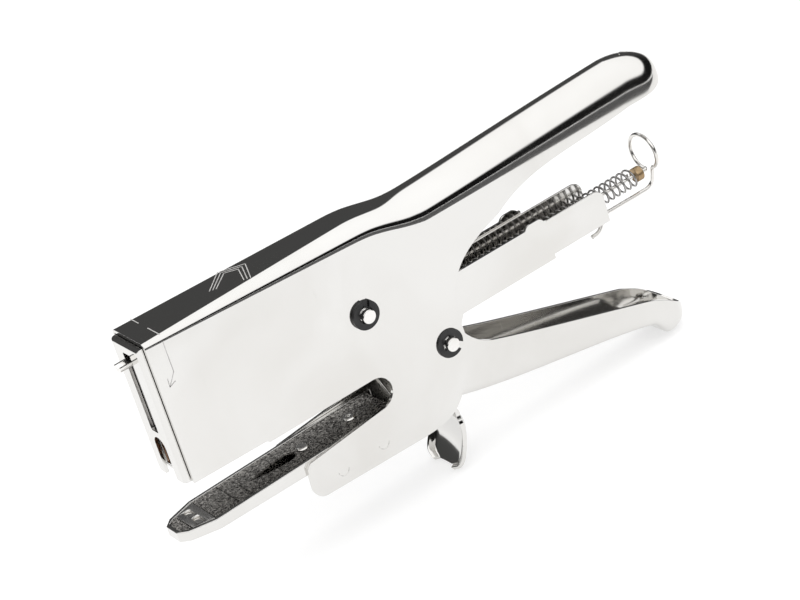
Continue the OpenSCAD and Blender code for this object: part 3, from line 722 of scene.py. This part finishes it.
@dataclass
class SqueezeLever:
    """Lower grip and lever: two walls joined by a rounded floor that ends in a lobe."""

    half: float = 9.4
    wall: float = 1.2
    floor_r: float = 2.6
    lobe_low: float = -31.2
    lobe_rim: float = -24.6
    rim_at_lobe: float = -13.4
    rim_straight: float = 0.547
    end_x: float = 206.5
    travel: float = 21.0
    slot_half: float = 3.5
    spare: float = 5.0
    grip_start: Flat = (122.5, 7.4)
    floor_start: Flat = (104.5, -6.2)
    floor_end: Flat = (189.0, -23.95)

    def floor_line(self) -> list[Flat]:
        """Gives the underside from where the lobe begins forwards to the pivots."""
        fx, fz = self.floor_end
        sx, sz = self.floor_start
        return [self.floor_end] + bezier(
            self.floor_end, (fx - 22, fz + 6.4), (sx + 25, sz - 7.6), self.floor_start, 24)

    def floor_rows(self) -> list[list[Solid]]:
        """Gives the floor's sections, each from the near wall round to the far wall."""
        line = self.floor_line()
        return [self.cup(x, self.half, z, self.floor_r) for x, z in line]

    def cup(self, x: float, half: float, floor: float, radius: float) -> list[Solid]:
        """Gives a section of the floor with its rounded edges.

        Args:
            x: Distance from the nose.
            half: Half of the width there.
            floor: Height of the underside there.
            radius: Radius of the rounded edges.

        Returns:
            The section's points, from the near wall to the far one.
        """
        side = min(radius, half * 0.96)
        near = []
        for step in range(9):
            angle = math.pi / 2 * step / 8
            near.append((-half + side * (1 - math.cos(angle)), floor + radius * (1 - math.sin(angle))))
        flat = half - side
        section = near + [(-flat + 2 * flat * i / 5, floor) for i in range(1, 5)]
        section += [(-y, z) for y, z in reversed(near)]
        return [(x, y, z) for y, z in section]

    def lobe_rows(self) -> list[list[Solid]]:
        """Gives the sections of the rounded lobe, each with its walls, from the grip to the end."""
        start, floor = self.floor_end
        centre = self.end_x - self.half
        low = bezier(self.floor_end, (start + 3, floor - 1.2), (start + 4, self.lobe_low),
                     (start + 8, self.lobe_low), 9)
        low += bezier(low[-1], (start + 12, self.lobe_low), (self.end_x, self.lobe_low + 0.6),
                      (self.end_x, self.lobe_rim - 1.4), 16)
        rows = []
        for x, z in [self.floor_end] + low:
            half = math.sqrt(max(0.0, self.half**2 - max(0.0, x - centre) ** 2))
            rise = (x - start) / (self.end_x - start)
            fall = rise * (self.rim_straight + (1 - self.rim_straight) * rise)
            rim = self.rim_at_lobe + (self.lobe_rim - self.rim_at_lobe) * fall
            radius = min(self.floor_r + 2.6 * smooth(rise * 1.6), max(0.3, rim - z - 0.6))
            under = self.cup(x, half, z, radius)
            wall = [rim + (under[0][2] - rim) * i / 5 for i in range(5)]
            near = [(x, -half, level) for level in wall]
            rows.append(near + under + [(x, half, level) for level in reversed(wall)])
        return rows

    def upper_line(self, pivots: Pivots) -> tuple[list[Flat], list[Flat]]:
        """Gives the walls' line above the grip and the line below the pivots.

        Args:
            pivots: Where the pivots are.

        Returns:
            The line from the cross pin to the lobe, and the line from the floor back to the cross pin.
        """
        p1, p2, cross = pivots.lever, pivots.magazine, pivots.cross
        reach = math.hypot(p2[0] - p1[0], p2[1] - p1[1])
        slope = math.degrees(math.atan2(p2[1] - p1[1], p2[0] - p1[0]))
        nose = arc(cross, 4.6, 200, 90, 10)
        hub = arc(p1, 9.5, 95, 45, 8)
        neck = bezier(hub[-1], (p1[0] + 16, p1[1]), (p2[0] + 4, p2[1] + 16), (p2[0] + 5.9, p2[1] + 4), 12)
        neck += bezier(neck[-1], (p2[0] + 6.6, p2[1] - 1), (p2[0] + 11.5, p2[1] - 6.5), self.grip_start, 10)
        gx = self.floor_end[0]
        grip = bezier(self.grip_start, (self.grip_start[0] + 14, self.grip_start[1] - 5), (gx - 26, -5.4),
                      (gx, self.rim_at_lobe), 16)
        below = arc(p1, reach + 6.5, slope - 17, slope - self.travel - 13, 10)
        below += arc(p1, reach - 5, slope - self.travel - 15, slope - self.travel - 19, 2)
        below += [(p1[0] + 3, p1[1] - 13), (p1[0] - 14, p1[1] - 4.5), (cross[0] + 14, cross[1] - 5)]
        return nose + [(55.0, 56.5)] + hub + neck + grip, below

    def slot(self, pivots: Pivots) -> list[Flat]:
        """Gives the curved slot that lets the lever swing past the magazine's pin."""
        p1, p2 = pivots.lever, pivots.magazine
        reach = math.hypot(p2[0] - p1[0], p2[1] - p1[1])
        slope = math.degrees(math.atan2(p2[1] - p1[1], p2[0] - p1[0]))
        start, end = slope - self.travel - self.spare, slope + self.spare
        outer = arc(p1, reach + self.slot_half, start, end, 16)
        return outer + arc(p1, reach - self.slot_half, end, start, 16)

    def build(self, shop: Workshop, pivots: Pivots) -> None:
        """Makes the lever and its cross pin."""
        bm = bmesh.new()
        rows = self.floor_rows()
        lobe = self.lobe_rows()
        lofted(bm, rows)
        lofted(bm, lobe)
        upper, below = self.upper_line(pivots)
        wall = [(point[0], point[2]) for point in lobe[0][1:5]]
        floor = [(row[0][0], row[0][2]) for row in rows]
        outline = upper + wall + floor + below
        for y in (-self.half, self.half):
            pins = [arc(pivots.lever, pivots.pin_d / 2, 0, 345, 23),
                    arc(pivots.cross, pivots.cross_d / 2, 0, 342, 19)]
            holes = pins + [self.slot(pivots)]
            plate(bm, [across(outline, y)] + [across(hole, y) for hole in holes])
        joined(bm)
        shop.piece("squeeze_lever_pressed", bm, Body.LEVER, NICKEL, ["squeeze_lever"], wall=self.wall,
                   round_off=0.3, segments=3)
        shop.softened("driver_cross_pin", Body.LEVER, BRIGHT_STEEL, 0.2)


@dataclass
class Heel:
    """Dished foot under the jaw, with a rim bent round it."""

    half: float = 11.0
    strap_half: float = 9.68
    wall: float = 1.5
    strap_z: float = -7.4
    front_x: float = 84.5
    top_x: float = 97.5
    low: Flat = (97.0, -32.0)
    corner: float = 5.0
    dish: float = 2.4

    def width_at(self, z: float) -> float:
        """Gives the heel's half width at a height."""
        fall = self.low[1] + self.corner - z
        if fall > 0:
            return self.half - self.corner + math.sqrt(max(0.0, self.corner**2 - fall**2))
        return self.half - (self.half - self.strap_half) * smooth((z + 15) / 4)

    def build(self, shop: Workshop) -> None:
        """Makes the heel: a strap that turns down into the dished shield."""
        bm = bmesh.new()
        line = [(self.front_x + (self.top_x - self.front_x) * i / 4, self.strap_z) for i in range(5)]
        line += bezier(line[-1], (104.5, -7.4), (106.5, -19.0), self.low, 30)
        across_steps = 20
        rows = []
        for x, z in line:
            half = self.width_at(min(z, self.strap_z))
            bent = smooth((self.strap_z - z) / 7) * self.dish
            row = []
            for step in range(across_steps + 1):
                s = math.sin(math.pi / 2 * (2 * step / across_steps - 1))
                rim = smooth((abs(s) - 0.72) / 0.28)
                row.append((x - bent * (0.35 * s * s + 0.65 * rim), half * s, z))
            rows.append(row)
        lofted(bm, rows)
        bmesh.ops.remove_doubles(bm, verts=bm.verts, dist=SEAM)
        for face in bm.faces:
            face.normal_update()
        highest = max(bm.faces, key=lambda f: f.calc_center_median().z)
        if highest.normal.z < 0:
            bmesh.ops.reverse_faces(bm, faces=bm.faces)
        shop.piece("heel_dished", bm, Body.FRAME, NICKEL, ["heel"], wall=self.wall, round_off=0.35,
                   segments=3)


@dataclass
class AnvilArm:
    """Lower jaw: a tapered channel with a grained inlay, its clinch plate and two rivets."""

    reach: float = 9.2
    tip_h: float = 3.7
    slope: float = 1.3
    half: float = 9.68
    sheet: float = 1.42
    tip_half: float = 6.6
    taper_x: float = 3.5
    inlay: float = 1.0
    drop: float = 0.3
    rear_x: float = 78.0
    front_strips: tuple[Flat, ...] = ((-7.7, -4.15), (4.15, 13.9), (14.15, 19.2))
    rear_strip_x: float = 19.45
    leaf_x: Flat = (22.5, 41.5)
    leaf_half: float = 3.0
    rivet_x: Flat = (45.0, 65.0)
    rivet_r: float = 1.55
    clinch_half: float = 3.95

    def inner(self, x: float) -> float:
        """Gives the half width between the channel's walls at x."""
        t = min(1.0, max(0.0, (x + self.reach - 3) / (self.taper_x + self.reach - 3)))
        corner = max(0.0, -self.reach + 3 + self.sheet / 2 - x) * 0.9
        return self.tip_half + (self.half - self.tip_half) * t - self.sheet - corner

    def top(self, x: float) -> float:
        """Gives the height of the channel's rim at x."""
        return self.tip_h + (x + self.reach) * math.tan(math.radians(self.slope))

    def slab(
        self, bm: bmesh.types.BMesh, outline: Sequence[Flat], holes: Sequence[Sequence[Flat]],
        low: float, high: float,
    ) -> None:
        """Adds a slab that follows the arm's slope.

        Args:
            bm: The mesh that gets the slab.
            outline: Its outline, drawn as (x, y).
            holes: The outlines of its holes.
            low: Depth of its underside below the rim.
            high: Depth of its top below the rim.
        """
        part = bmesh.new()
        rings = [[(x, y, 0.0) for x, y in ring] for ring in (outline, *holes)]
        plate(part, rings)
        bmesh.ops.recalc_face_normals(part, faces=part.faces)
        if sum(f.normal.z for f in part.faces) > 0:
            bmesh.ops.reverse_faces(part, faces=part.faces)
        raised = bmesh.ops.extrude_face_region(part, geom=part.faces[:])
        upper = set(drawn_verts(raised))
        for vert in part.verts:
            vert.co.z = self.top(vert.co.x) - (high if vert in upper else low)
        bmesh.ops.recalc_face_normals(part, faces=part.faces)
        mesh = bpy.data.meshes.new("slab")
        part.to_mesh(mesh)
        part.free()
        bm.from_mesh(mesh)
        bpy.data.meshes.remove(mesh)

    def strip(self, x0: float, x1: float) -> list[Flat]:
        """Gives the outline of a stretch of the inlay between two places along the arm."""
        xs = [x0] + [x for x in (-self.reach + 3 + self.sheet / 2, self.taper_x) if x0 < x < x1] + [x1]
        return [(x, -self.inner(x)) for x in xs] + [(x, self.inner(x)) for x in reversed(xs)]

    def leaf(self, x0: float, x1: float, half: float) -> list[Flat]:
        """Gives a leaf-shaped opening, pointed at the front and round at the rear."""
        reach = x1 - half - x0
        side = [(x0 + reach * i / 8, -half * math.sin(math.pi / 2 * i / 8) ** 0.9) for i in range(8)]
        rear = arc((x1 - half, 0.0), half, -90, 90, 12)
        return side + rear + [(x, -y) for x, y in reversed(side[1:])]

    def build(self, shop: Workshop) -> None:
        """Makes the arm, its inlay, the clinch plate and the rivets."""
        shop.softened("anvil_arm", Body.FRAME, NICKEL, 0.3, 3)
        rivets = [arc((x, 0.0), self.rivet_r, 0, 340, 17) for x in self.rivet_x]
        bm = bmesh.new()
        low, high = self.drop + self.inlay, self.drop
        for x0, x1 in self.front_strips:
            self.slab(bm, self.strip(x0, x1), [], low, high)
        holes = [self.leaf(*self.leaf_x, self.leaf_half)] + rivets
        self.slab(bm, self.strip(self.rear_strip_x, self.rear_x), holes, low, high)
        shop.piece("anvil_inlay", bm, Body.FRAME, CRACKLE, ["anvil_plate"], round_off=0.16)
        bm = bmesh.new()
        outline = self.strip(-self.clinch_half, self.clinch_half)
        pockets = [[(x - 0.2, y) for x, y in self.pocket(s)] for s in (-1, 1)]
        self.slab(bm, outline, pockets, low - 0.35, high - 0.15)
        self.slab(bm, outline, [], low + 0.3, low - 0.37)
        shop.piece("clinch_plate_finished", bm, Body.FRAME, BRIGHT_STEEL, ["clinch_plate"], round_off=0.24)
        for node in ("anvil_front_rivet", "anvil_rear_rivet"):
            shop.softened(node, Body.FRAME, BRIGHT_STEEL, 0.18, 3)

    def pocket(self, side: int) -> list[Flat]:
        """Gives one clinching pocket, a groove across the plate beside its middle."""
        ring = arc((0.0, side * 4.2), 1.3, 0, 180, 8) + arc((0.0, side * 1.7), 1.3, 180, 360, 8)
        if side < 0:
            ring = arc((0.0, -1.7), 1.3, 0, 180, 8) + arc((0.0, -4.2), 1.3, 180, 360, 8)
        return ring


@dataclass
class Nose:
    """Nose plate that closes the magazine's mouth, with the driver's slot and the staple arch."""

    front: float = -2.4
    half: float = 9.12
    sheet: float = 1.2
    low: float = 21.2
    high: float = 72.3
    step_z: float = 40.0
    slot_half: float = 2.45
    slot_z: Flat = (39.0, 68.9)
    arch_half: float = 3.6
    arch_z: float = 33.0
    short: float = 4.0
    long: float = 10.7

    def build(self, shop: Workshop) -> None:
        """Makes the nose plate with its bent flanges, and its rivets."""
        bm = bmesh.new()
        arch = [(-y, z) for y, z in arc((0.0, self.arch_z), self.arch_half, 0, 180, 20)]
        outline = [(self.half, self.low), (self.half, self.step_z), (self.half, self.high)]
        outline += [(-self.half, self.high), (-self.half, self.step_z), (-self.half, self.low)]
        outline += [(-self.arch_half, self.low)] + arch + [(self.arch_half, self.low)]
        half, (z0, z1) = self.slot_half, self.slot_z
        slot = arc((-half + 0.6, z0 + 0.6), 0.6, 180, 270, 4) + arc((half - 0.6, z0 + 0.6), 0.6, 270, 360, 4)
        slot += arc((half - 0.6, z1 - 0.6), 0.6, 0, 90, 4) + arc((-half + 0.6, z1 - 0.6), 0.6, 90, 180, 4)
        plate(bm, [[(self.front, y, z) for y, z in ring] for ring in (outline, slot)])
        for reach, top in ((self.short, self.high), (self.long, self.step_z)):
            edges = [e for e in bm.edges if self._flange_edge(e, top)]
            for vert in drawn_verts(bmesh.ops.extrude_edge_only(bm, edges=edges)):
                vert.co.x = self.front + reach
        lip = [e for e in bm.edges if self._top_edge(e)]
        for vert in drawn_verts(bmesh.ops.extrude_edge_only(bm, edges=lip)):
            vert.co.x = self.front + self.short
        bmesh.ops.remove_doubles(bm, verts=bm.verts, dist=SEAM)
        corners = [e for e in bm.edges if self._front_corner(e)]
        corners += [e for e in bm.edges if self._top_edge(e)]
        bmesh.ops.bevel(bm, geom=corners, offset=1.5, offset_type="OFFSET", segments=4, profile=0.5,
                        affect="EDGES", material=-1)
        bmesh.ops.remove_doubles(bm, verts=bm.verts, dist=SEAM)
        bmesh.ops.recalc_face_normals(bm, faces=bm.faces)
        forward = [f for f in bm.faces if abs(f.normal.x) > 0.9]
        if sum(f.normal.x * f.calc_area() for f in forward) > 0:
            bmesh.ops.reverse_faces(bm, faces=bm.faces)
        shop.piece("nose_plate_bent", bm, Body.MAGAZINE, NICKEL, ["nose_plate"], wall=self.sheet,
                   round_off=0.2)
        shop.softened("nose_rivets", Body.MAGAZINE, BRIGHT_STEEL, 0.08)

    def _front_corner(self, edge: bmesh.types.BMEdge) -> bool:
        """Tells whether an edge is a stretch of one of the plate's upright front corners."""
        at_corner = all(abs(v.co.x - self.front) < SAME and abs(abs(v.co.y) - self.half) < SAME
                        for v in edge.verts)
        return at_corner and abs(edge.verts[0].co.z - edge.verts[1].co.z) > 1

    def _top_edge(self, edge: bmesh.types.BMEdge) -> bool:
        """Tells whether an edge is the plate's front top edge."""
        return all(abs(v.co.z - self.high) < SAME and abs(v.co.x - self.front) < SAME for v in edge.verts)

    def _flange_edge(self, edge: bmesh.types.BMEdge, top: float) -> bool:
        """Tells whether an upright edge at the rearmost side is to be drawn out, up to a height."""
        if len(edge.link_faces) != 1:
            return False
        a, b = (v.co for v in edge.verts)
        upright = abs(a.y - b.y) < SAME and abs(a.x - b.x) < SAME
        return upright and abs(abs(a.y) - self.half) < SAME and max(a.z, b.z) <= top + 0.01


@dataclass
class Magazine:
    """Two nested channels that carry the staples, with the strip, its pusher and their wires."""

    strip_x: float = 0.3
    strip_l: float = 62.0
    staple_half: float = 5.78
    staple_low: float = 23.54
    staple_high: float = 33.54
    wire_w: float = 0.8
    feed_z: float = 29.6
    spring_x: Flat = (74.85, 201.9)
    spring_r: float = 3.4
    spring_wire: float = 0.8
    spring_turns: int = 48
    rod_d: float = 1.5
    ring_x: float = 208.0
    ring_r: float = 6.75

    def build(self, shop: Workshop, pivots: Pivots) -> None:
        """Makes the channels, the staples, the pusher and the rod with its spring."""
        shop.softened("magazine_channel", Body.MAGAZINE, NICKEL, 0.3, 3)
        shop.softened("inner_channel", Body.MAGAZINE, NICKEL, 0.25, 3)
        shop.softened("magazine_bush", Body.MAGAZINE, BRONZE, 0.2)
        shop.softened("staple_pusher", Body.PUSHER, DARK_STEEL, 0.25)
        shop.softened("rod_bush", Body.ROD, BRONZE, 0.25)
        self.staples(shop)
        self.rod(shop)
        self.spring(shop)
        p2 = pivots.magazine
        torsion_spring(shop, "magazine_lift_spring", Body.MAGAZINE, p2, 4.6, 0.9, 6.5,
                       (p2[0] - 13, p2[1] + 4.3), (p2[0] - 13, p2[1] - 5.6))

    def staples(self, shop: Workshop) -> None:
        """Makes the strip of staples, one wire behind the other."""
        half, low, high, wire = self.staple_half, self.staple_low, self.staple_high, self.wire_w
        outer = [(half, low)] + arc((half - 0.9, high - 0.9), 0.9, 0, 90, 3)
        outer += arc((0.9 - half, high - 0.9), 0.9, 90, 180, 3) + [(-half, low)]
        inside, under = half - wire, high - wire
        inner = [(-inside, low), (-inside, under), (inside, under), (inside, low)]
        bm = bmesh.new()
        face = bm.faces.new([bm.verts.new((self.strip_x + 0.02, y, z)) for y, z in outer + inner])
        drawn = bmesh.ops.extrude_face_region(bm, geom=[face])
        bmesh.ops.translate(bm, verts=drawn_verts(drawn), vec=(wire - 0.04, 0, 0))
        bmesh.ops.recalc_face_normals(bm, faces=bm.faces)
        sharp = [e for e in bm.edges if abs(e.verts[0].co.x - e.verts[1].co.x) < 1e-5]
        bmesh.ops.bevel(bm, geom=sharp, offset=0.14, segments=1, profile=0.5, affect="EDGES", material=-1)
        strip = shop.piece("staples", bm, Body.MAGAZINE, COPPER_WIRE, ["staple_strip"])
        row = strip.modifiers.new("row", "ARRAY")
        row.count = int(self.strip_l / wire)
        row.use_relative_offset = False
        row.use_constant_offset = True
        row.constant_offset_displace = (wire * MM, 0, 0)

    def rod(self, shop: Workshop) -> None:
        """Makes the bent wire: the rod, its pull ring and the arm back to the hook."""
        ring_z = self.feed_z + self.ring_r
        points = [(58.35, 0.0, self.feed_z), (203.0, 0.0, self.feed_z), (205.5, 0.0, self.feed_z)]
        for step in range(24):
            angle = math.radians(-90 + 340 * step / 23)
            points.append((self.ring_x + 1.6 * step / 23, self.ring_r * math.cos(angle),
                           ring_z + self.ring_r * math.sin(angle)))
        points += [(209.2, -1.4, 26.6), (208.3, -0.7, 23.6), (206.6, -0.2, 22.4), (204.6, 0.0, 22.2),
                   (190.0, 0.0, 22.2), (187.3, 0.0, 22.15), (186.0, 0.0, 21.6), (183.0, 0.0, 18.0),
                   (181.6, 0.0, 17.0), (178.5, 0.0, 16.6)]
        shop.wire("feed_rod_wire", points, self.rod_d, Body.ROD, BRIGHT_STEEL, ["feed_rod"], sides=5, steps=5)

    def spring(self, shop: Workshop) -> None:
        """Makes the pusher's spring as one fixed coil on the rod; it does not shorten as the pusher moves
        back.
        """
        x0, x1 = self.spring_x
        count = self.spring_turns * 20
        points = []
        for step in range(count + 1):
            angle = 2 * math.pi * step / 20
            points.append((x0 + (x1 - x0) * step / count, self.spring_r * math.cos(angle),
                           self.feed_z + self.spring_r * math.sin(angle)))
        coil = shop.wire("pusher_spring_coil", points, self.spring_wire, Body.ROD, SPRING_STEEL,
                         ["pusher_spring"], curved=False, sides=1)
        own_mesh(coil)


def torsion_spring(
    shop: Workshop, name: str, body: Body, centre: Flat, radius: float, wire_d: float, turns: float,
    front: Flat, rear: Flat,
) -> None:
    """Makes a close-wound torsion spring with two straight legs.

    Args:
        shop: The workshop.
        name: The CAD node that it stands for.
        body: The body it moves with.
        centre: Its axis, seen from the side.
        radius: Radius of its turns, to the wire's middle.
        wire_d: Diameter of its wire.
        turns: Number of turns.
        front: End of its first leg.
        rear: End of its second leg.
    """
    count = round(turns * 24)
    length = turns * wire_d * 1.04
    points = [(front[0], -length / 2, front[1])]
    for step in range(count + 1):
        angle = 2 * math.pi * step / 24
        points.append((centre[0] + radius * math.sin(angle), length * (step / count - 0.5),
                       centre[1] + radius * math.cos(angle)))
    points.append((rear[0], length / 2, rear[1]))
    shop.wire(f"{name}_coil", points, wire_d, body, SPRING_STEEL, [name], curved=False, sides=2)


@dataclass
class PivotHardware:
    """Pins, clips, washer, bush and the lever's return spring."""

    spring_r: float = 4.8
    spring_wire: float = 1.0
    spring_turns: float = 8

    def build(self, shop: Workshop, pivots: Pivots) -> None:
        """Makes the pieces that hold the lever and the magazine in the shell."""
        for node in ("handle_pivot_pin", "magazine_pivot_pin"):
            shop.softened(node, Body.FRAME, BRIGHT_STEEL, 0.3, 3)
        for node in ("handle_pivot_clip", "magazine_pivot_clip", "pivot_washer"):
            shop.softened(node, Body.FRAME, BLACK_OXIDE, 0.14)
        shop.softened("lever_pivot_bush", Body.FRAME, BRONZE, 0.25)
        p1 = pivots.lever
        torsion_spring(shop, "lever_return_spring", Body.FRAME, p1, self.spring_r, self.spring_wire,
                       self.spring_turns, (p1[0] - 24, 71.5), (p1[0] + 22, p1[1] + 7.8))


@dataclass
class Driver:
    """Driver blade, its carrier and the trough that shows through the nose."""

    round_off: float = 0.12

    def build(self, shop: Workshop) -> None:
        """Makes the three driver pieces."""
        shop.softened("driver_blade", Body.DRIVER, SPRING_STEEL, self.round_off)
        shop.softened("driver_carrier", Body.DRIVER, BRIGHT_STEEL, self.round_off * 2)
        shop.softened("driver_tongue", Body.DRIVER, BRIGHT_STEEL, self.round_off)


# ---------------------------------------------------------------- studio

# Brightness of the sky against how steeply a reflection looks up
SKY_LEVELS = ((0.0, 0.006), (0.42, 0.008), (0.45, 0.6), (0.48, 1.3), (1.0, 1.36))


@dataclass
class Studio:
    """Camera, floor, mirrored card, sky and lamps. The card and the floor are sized in metres."""

    azimuth: float = -27.185
    elevation: float = 26.823
    roll: float = 17.582
    distance: float = 887.5
    aim: Solid = (97.415, 0.0, 34.645)
    lens: float = 117.0
    floor_z: float = -32.6
    band_tilt: float = 0.217
    floor_half: float = 6.0
    card_start: float = 0.27
    card_half: float = 1.5
    card_lift: float = 0.001

    def camera(self) -> None:
        """Places the camera."""
        azimuth, elevation, roll = (math.radians(a) for a in (self.azimuth, self.elevation, self.roll))
        back = Vector((math.sin(azimuth) * math.cos(elevation), -math.cos(azimuth) * math.cos(elevation),
                       math.sin(elevation)))
        level = Vector((math.cos(azimuth), math.sin(azimuth), 0))
        upright = back.cross(level)
        right = math.cos(roll) * level - math.sin(roll) * upright
        up = math.sin(roll) * level + math.cos(roll) * upright
        data = bpy.data.cameras.new("camera")
        data.lens = self.lens
        data.sensor_width = 36
        data.clip_start = 0.01
        data.clip_end = 20
        camera = bpy.data.objects.new("camera", data)
        bpy.context.scene.collection.objects.link(camera)
        turn = Matrix((right, up, back)).transposed().to_4x4()
        camera.matrix_world = Matrix.Translation((Vector(self.aim) + back * self.distance) * MM) @ turn
        bpy.context.scene.camera = camera

    def ground(
        self, shop: Workshop, name: str, finish: Finish, half: float, place: Solid,
    ) -> bpy.types.Object:
        """Lays one level sheet of the studio.

        Args:
            shop: The workshop, for the sheet's material.
            name: The sheet's name.
            finish: Its finish.
            half: Half of its side, in metres.
            place: Its middle, in metres.

        Returns:
            The sheet.
        """
        bm = bmesh.new()
        bmesh.ops.create_grid(bm, x_segments=4, y_segments=4, size=half)
        bmesh.ops.translate(bm, verts=bm.verts, vec=place)
        mesh = bpy.data.meshes.new(name)
        bm.to_mesh(mesh)
        bm.free()
        mesh.materials.append(shop.finish(finish))
        sheet = bpy.data.objects.new(name, mesh)
        bpy.context.scene.collection.objects.link(sheet)
        return sheet

    def sky(self) -> None:
        """Makes a sky for the metal, bright overhead and dark lower down, that the camera sees white."""
        world = bpy.data.worlds.new("studio")
        bpy.context.scene.world = world
        world.use_nodes = True
        nodes, links = world.node_tree.nodes, world.node_tree.links
        background = nodes["Background"]
        place = nodes.new("ShaderNodeTexCoord")
        tilted = value_node(nodes, "ShaderNodeVectorMath", "DOT_PRODUCT")
        tilted.inputs[1].default_value = (0.0, -self.band_tilt, 1.0)
        ramp = nodes.new("ShaderNodeValToRGB")
        while len(ramp.color_ramp.elements) < len(SKY_LEVELS):
            ramp.color_ramp.elements.new(0.5)
        for element, (at, level) in zip(ramp.color_ramp.elements, SKY_LEVELS):
            element.position = at
            element.color = (level, level, level, 1)
        split = nodes.new("ShaderNodeSeparateXYZ")
        grey = set_node(nodes, "ShaderNodeMapRange", {"From Min": 0.1, "From Max": 0.6, "To Max": 0.07})
        lighter = value_node(nodes, "ShaderNodeMath", "MAXIMUM")
        seen = nodes.new("ShaderNodeLightPath")
        shown = value_node(nodes, "ShaderNodeMath", "MAXIMUM")
        wired(links, (
            (place.outputs["Generated"], tilted.inputs[0]),
            (place.outputs["Generated"], split.inputs[0]),
            (tilted.outputs["Value"], ramp.inputs["Fac"]),
            (split.outputs["Y"], grey.inputs["Value"]),
            (ramp.outputs["Color"], lighter.inputs[0]),
            (grey.outputs["Result"], lighter.inputs[1]),
            (lighter.outputs[0], shown.inputs[0]),
            (seen.outputs["Is Camera Ray"], shown.inputs[1]),
            (shown.outputs[0], background.inputs["Color"]),
        ))
        background.inputs["Strength"].default_value = 1.0

    def card(self, shop: Workshop) -> None:
        """Lays a dark card on the floor in front, for the metal alone to mirror."""
        half = self.card_half
        place = (0, -half - self.card_start, self.floor_z * MM + self.card_lift)
        card = self.ground(shop, "dark_card", BLACK_OXIDE, half, place)
        for ray in ("camera", "diffuse", "shadow", "transmission", "volume_scatter"):
            setattr(card, f"visible_{ray}", False)

    def lamp(self, name: str, place: Solid, size: float, power: float) -> None:
        """Hangs one soft square lamp that faces the plier.

        Args:
            name: The lamp's name.
            place: Where it hangs, in metres.
            size: Its side, in metres.
            power: Its power, in watts.
        """
        data = bpy.data.lights.new(name, "AREA")
        data.size = size
        data.energy = power
        lamp = bpy.data.objects.new(name, data)
        lamp.visible_glossy = False
        lamp.location = place
        lamp.rotation_euler = (Vector((0.1, 0, 0.03)) - Vector(place)).to_track_quat("-Z", "Y").to_euler()
        bpy.context.scene.collection.objects.link(lamp)

    def build(self, shop: Workshop) -> None:
        """Sets up the studio."""
        self.camera()
        self.ground(shop, "floor", FLOOR, self.floor_half, (0, 0, self.floor_z * MM))
        self.card(shop)
        self.sky()
        bpy.context.scene.view_settings.view_transform = "Standard"
        self.lamp("overhead", (0.1, -0.1, 1.6), 1.6, 6)
        self.lamp("front_fill", (-0.5, -1.2, 1.0), 1.0, 3)


def main() -> None:
    """Builds the plier and its studio."""
    logging.basicConfig(level=logging.INFO, format="%(message)s")
    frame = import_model()
    shop = Workshop(frame)
    pivots = Pivots()
    Studio().build(shop)
    Shell().build(shop, pivots)
    SqueezeLever().build(shop, pivots)
    AnvilArm().build(shop)
    Heel().build(shop)
    Nose().build(shop)
    Driver().build(shop)
    Magazine().build(shop, pivots)
    PivotHardware().build(shop, pivots)
    bpy.context.view_layer.update()


if __name__ == "__main__":
    main()
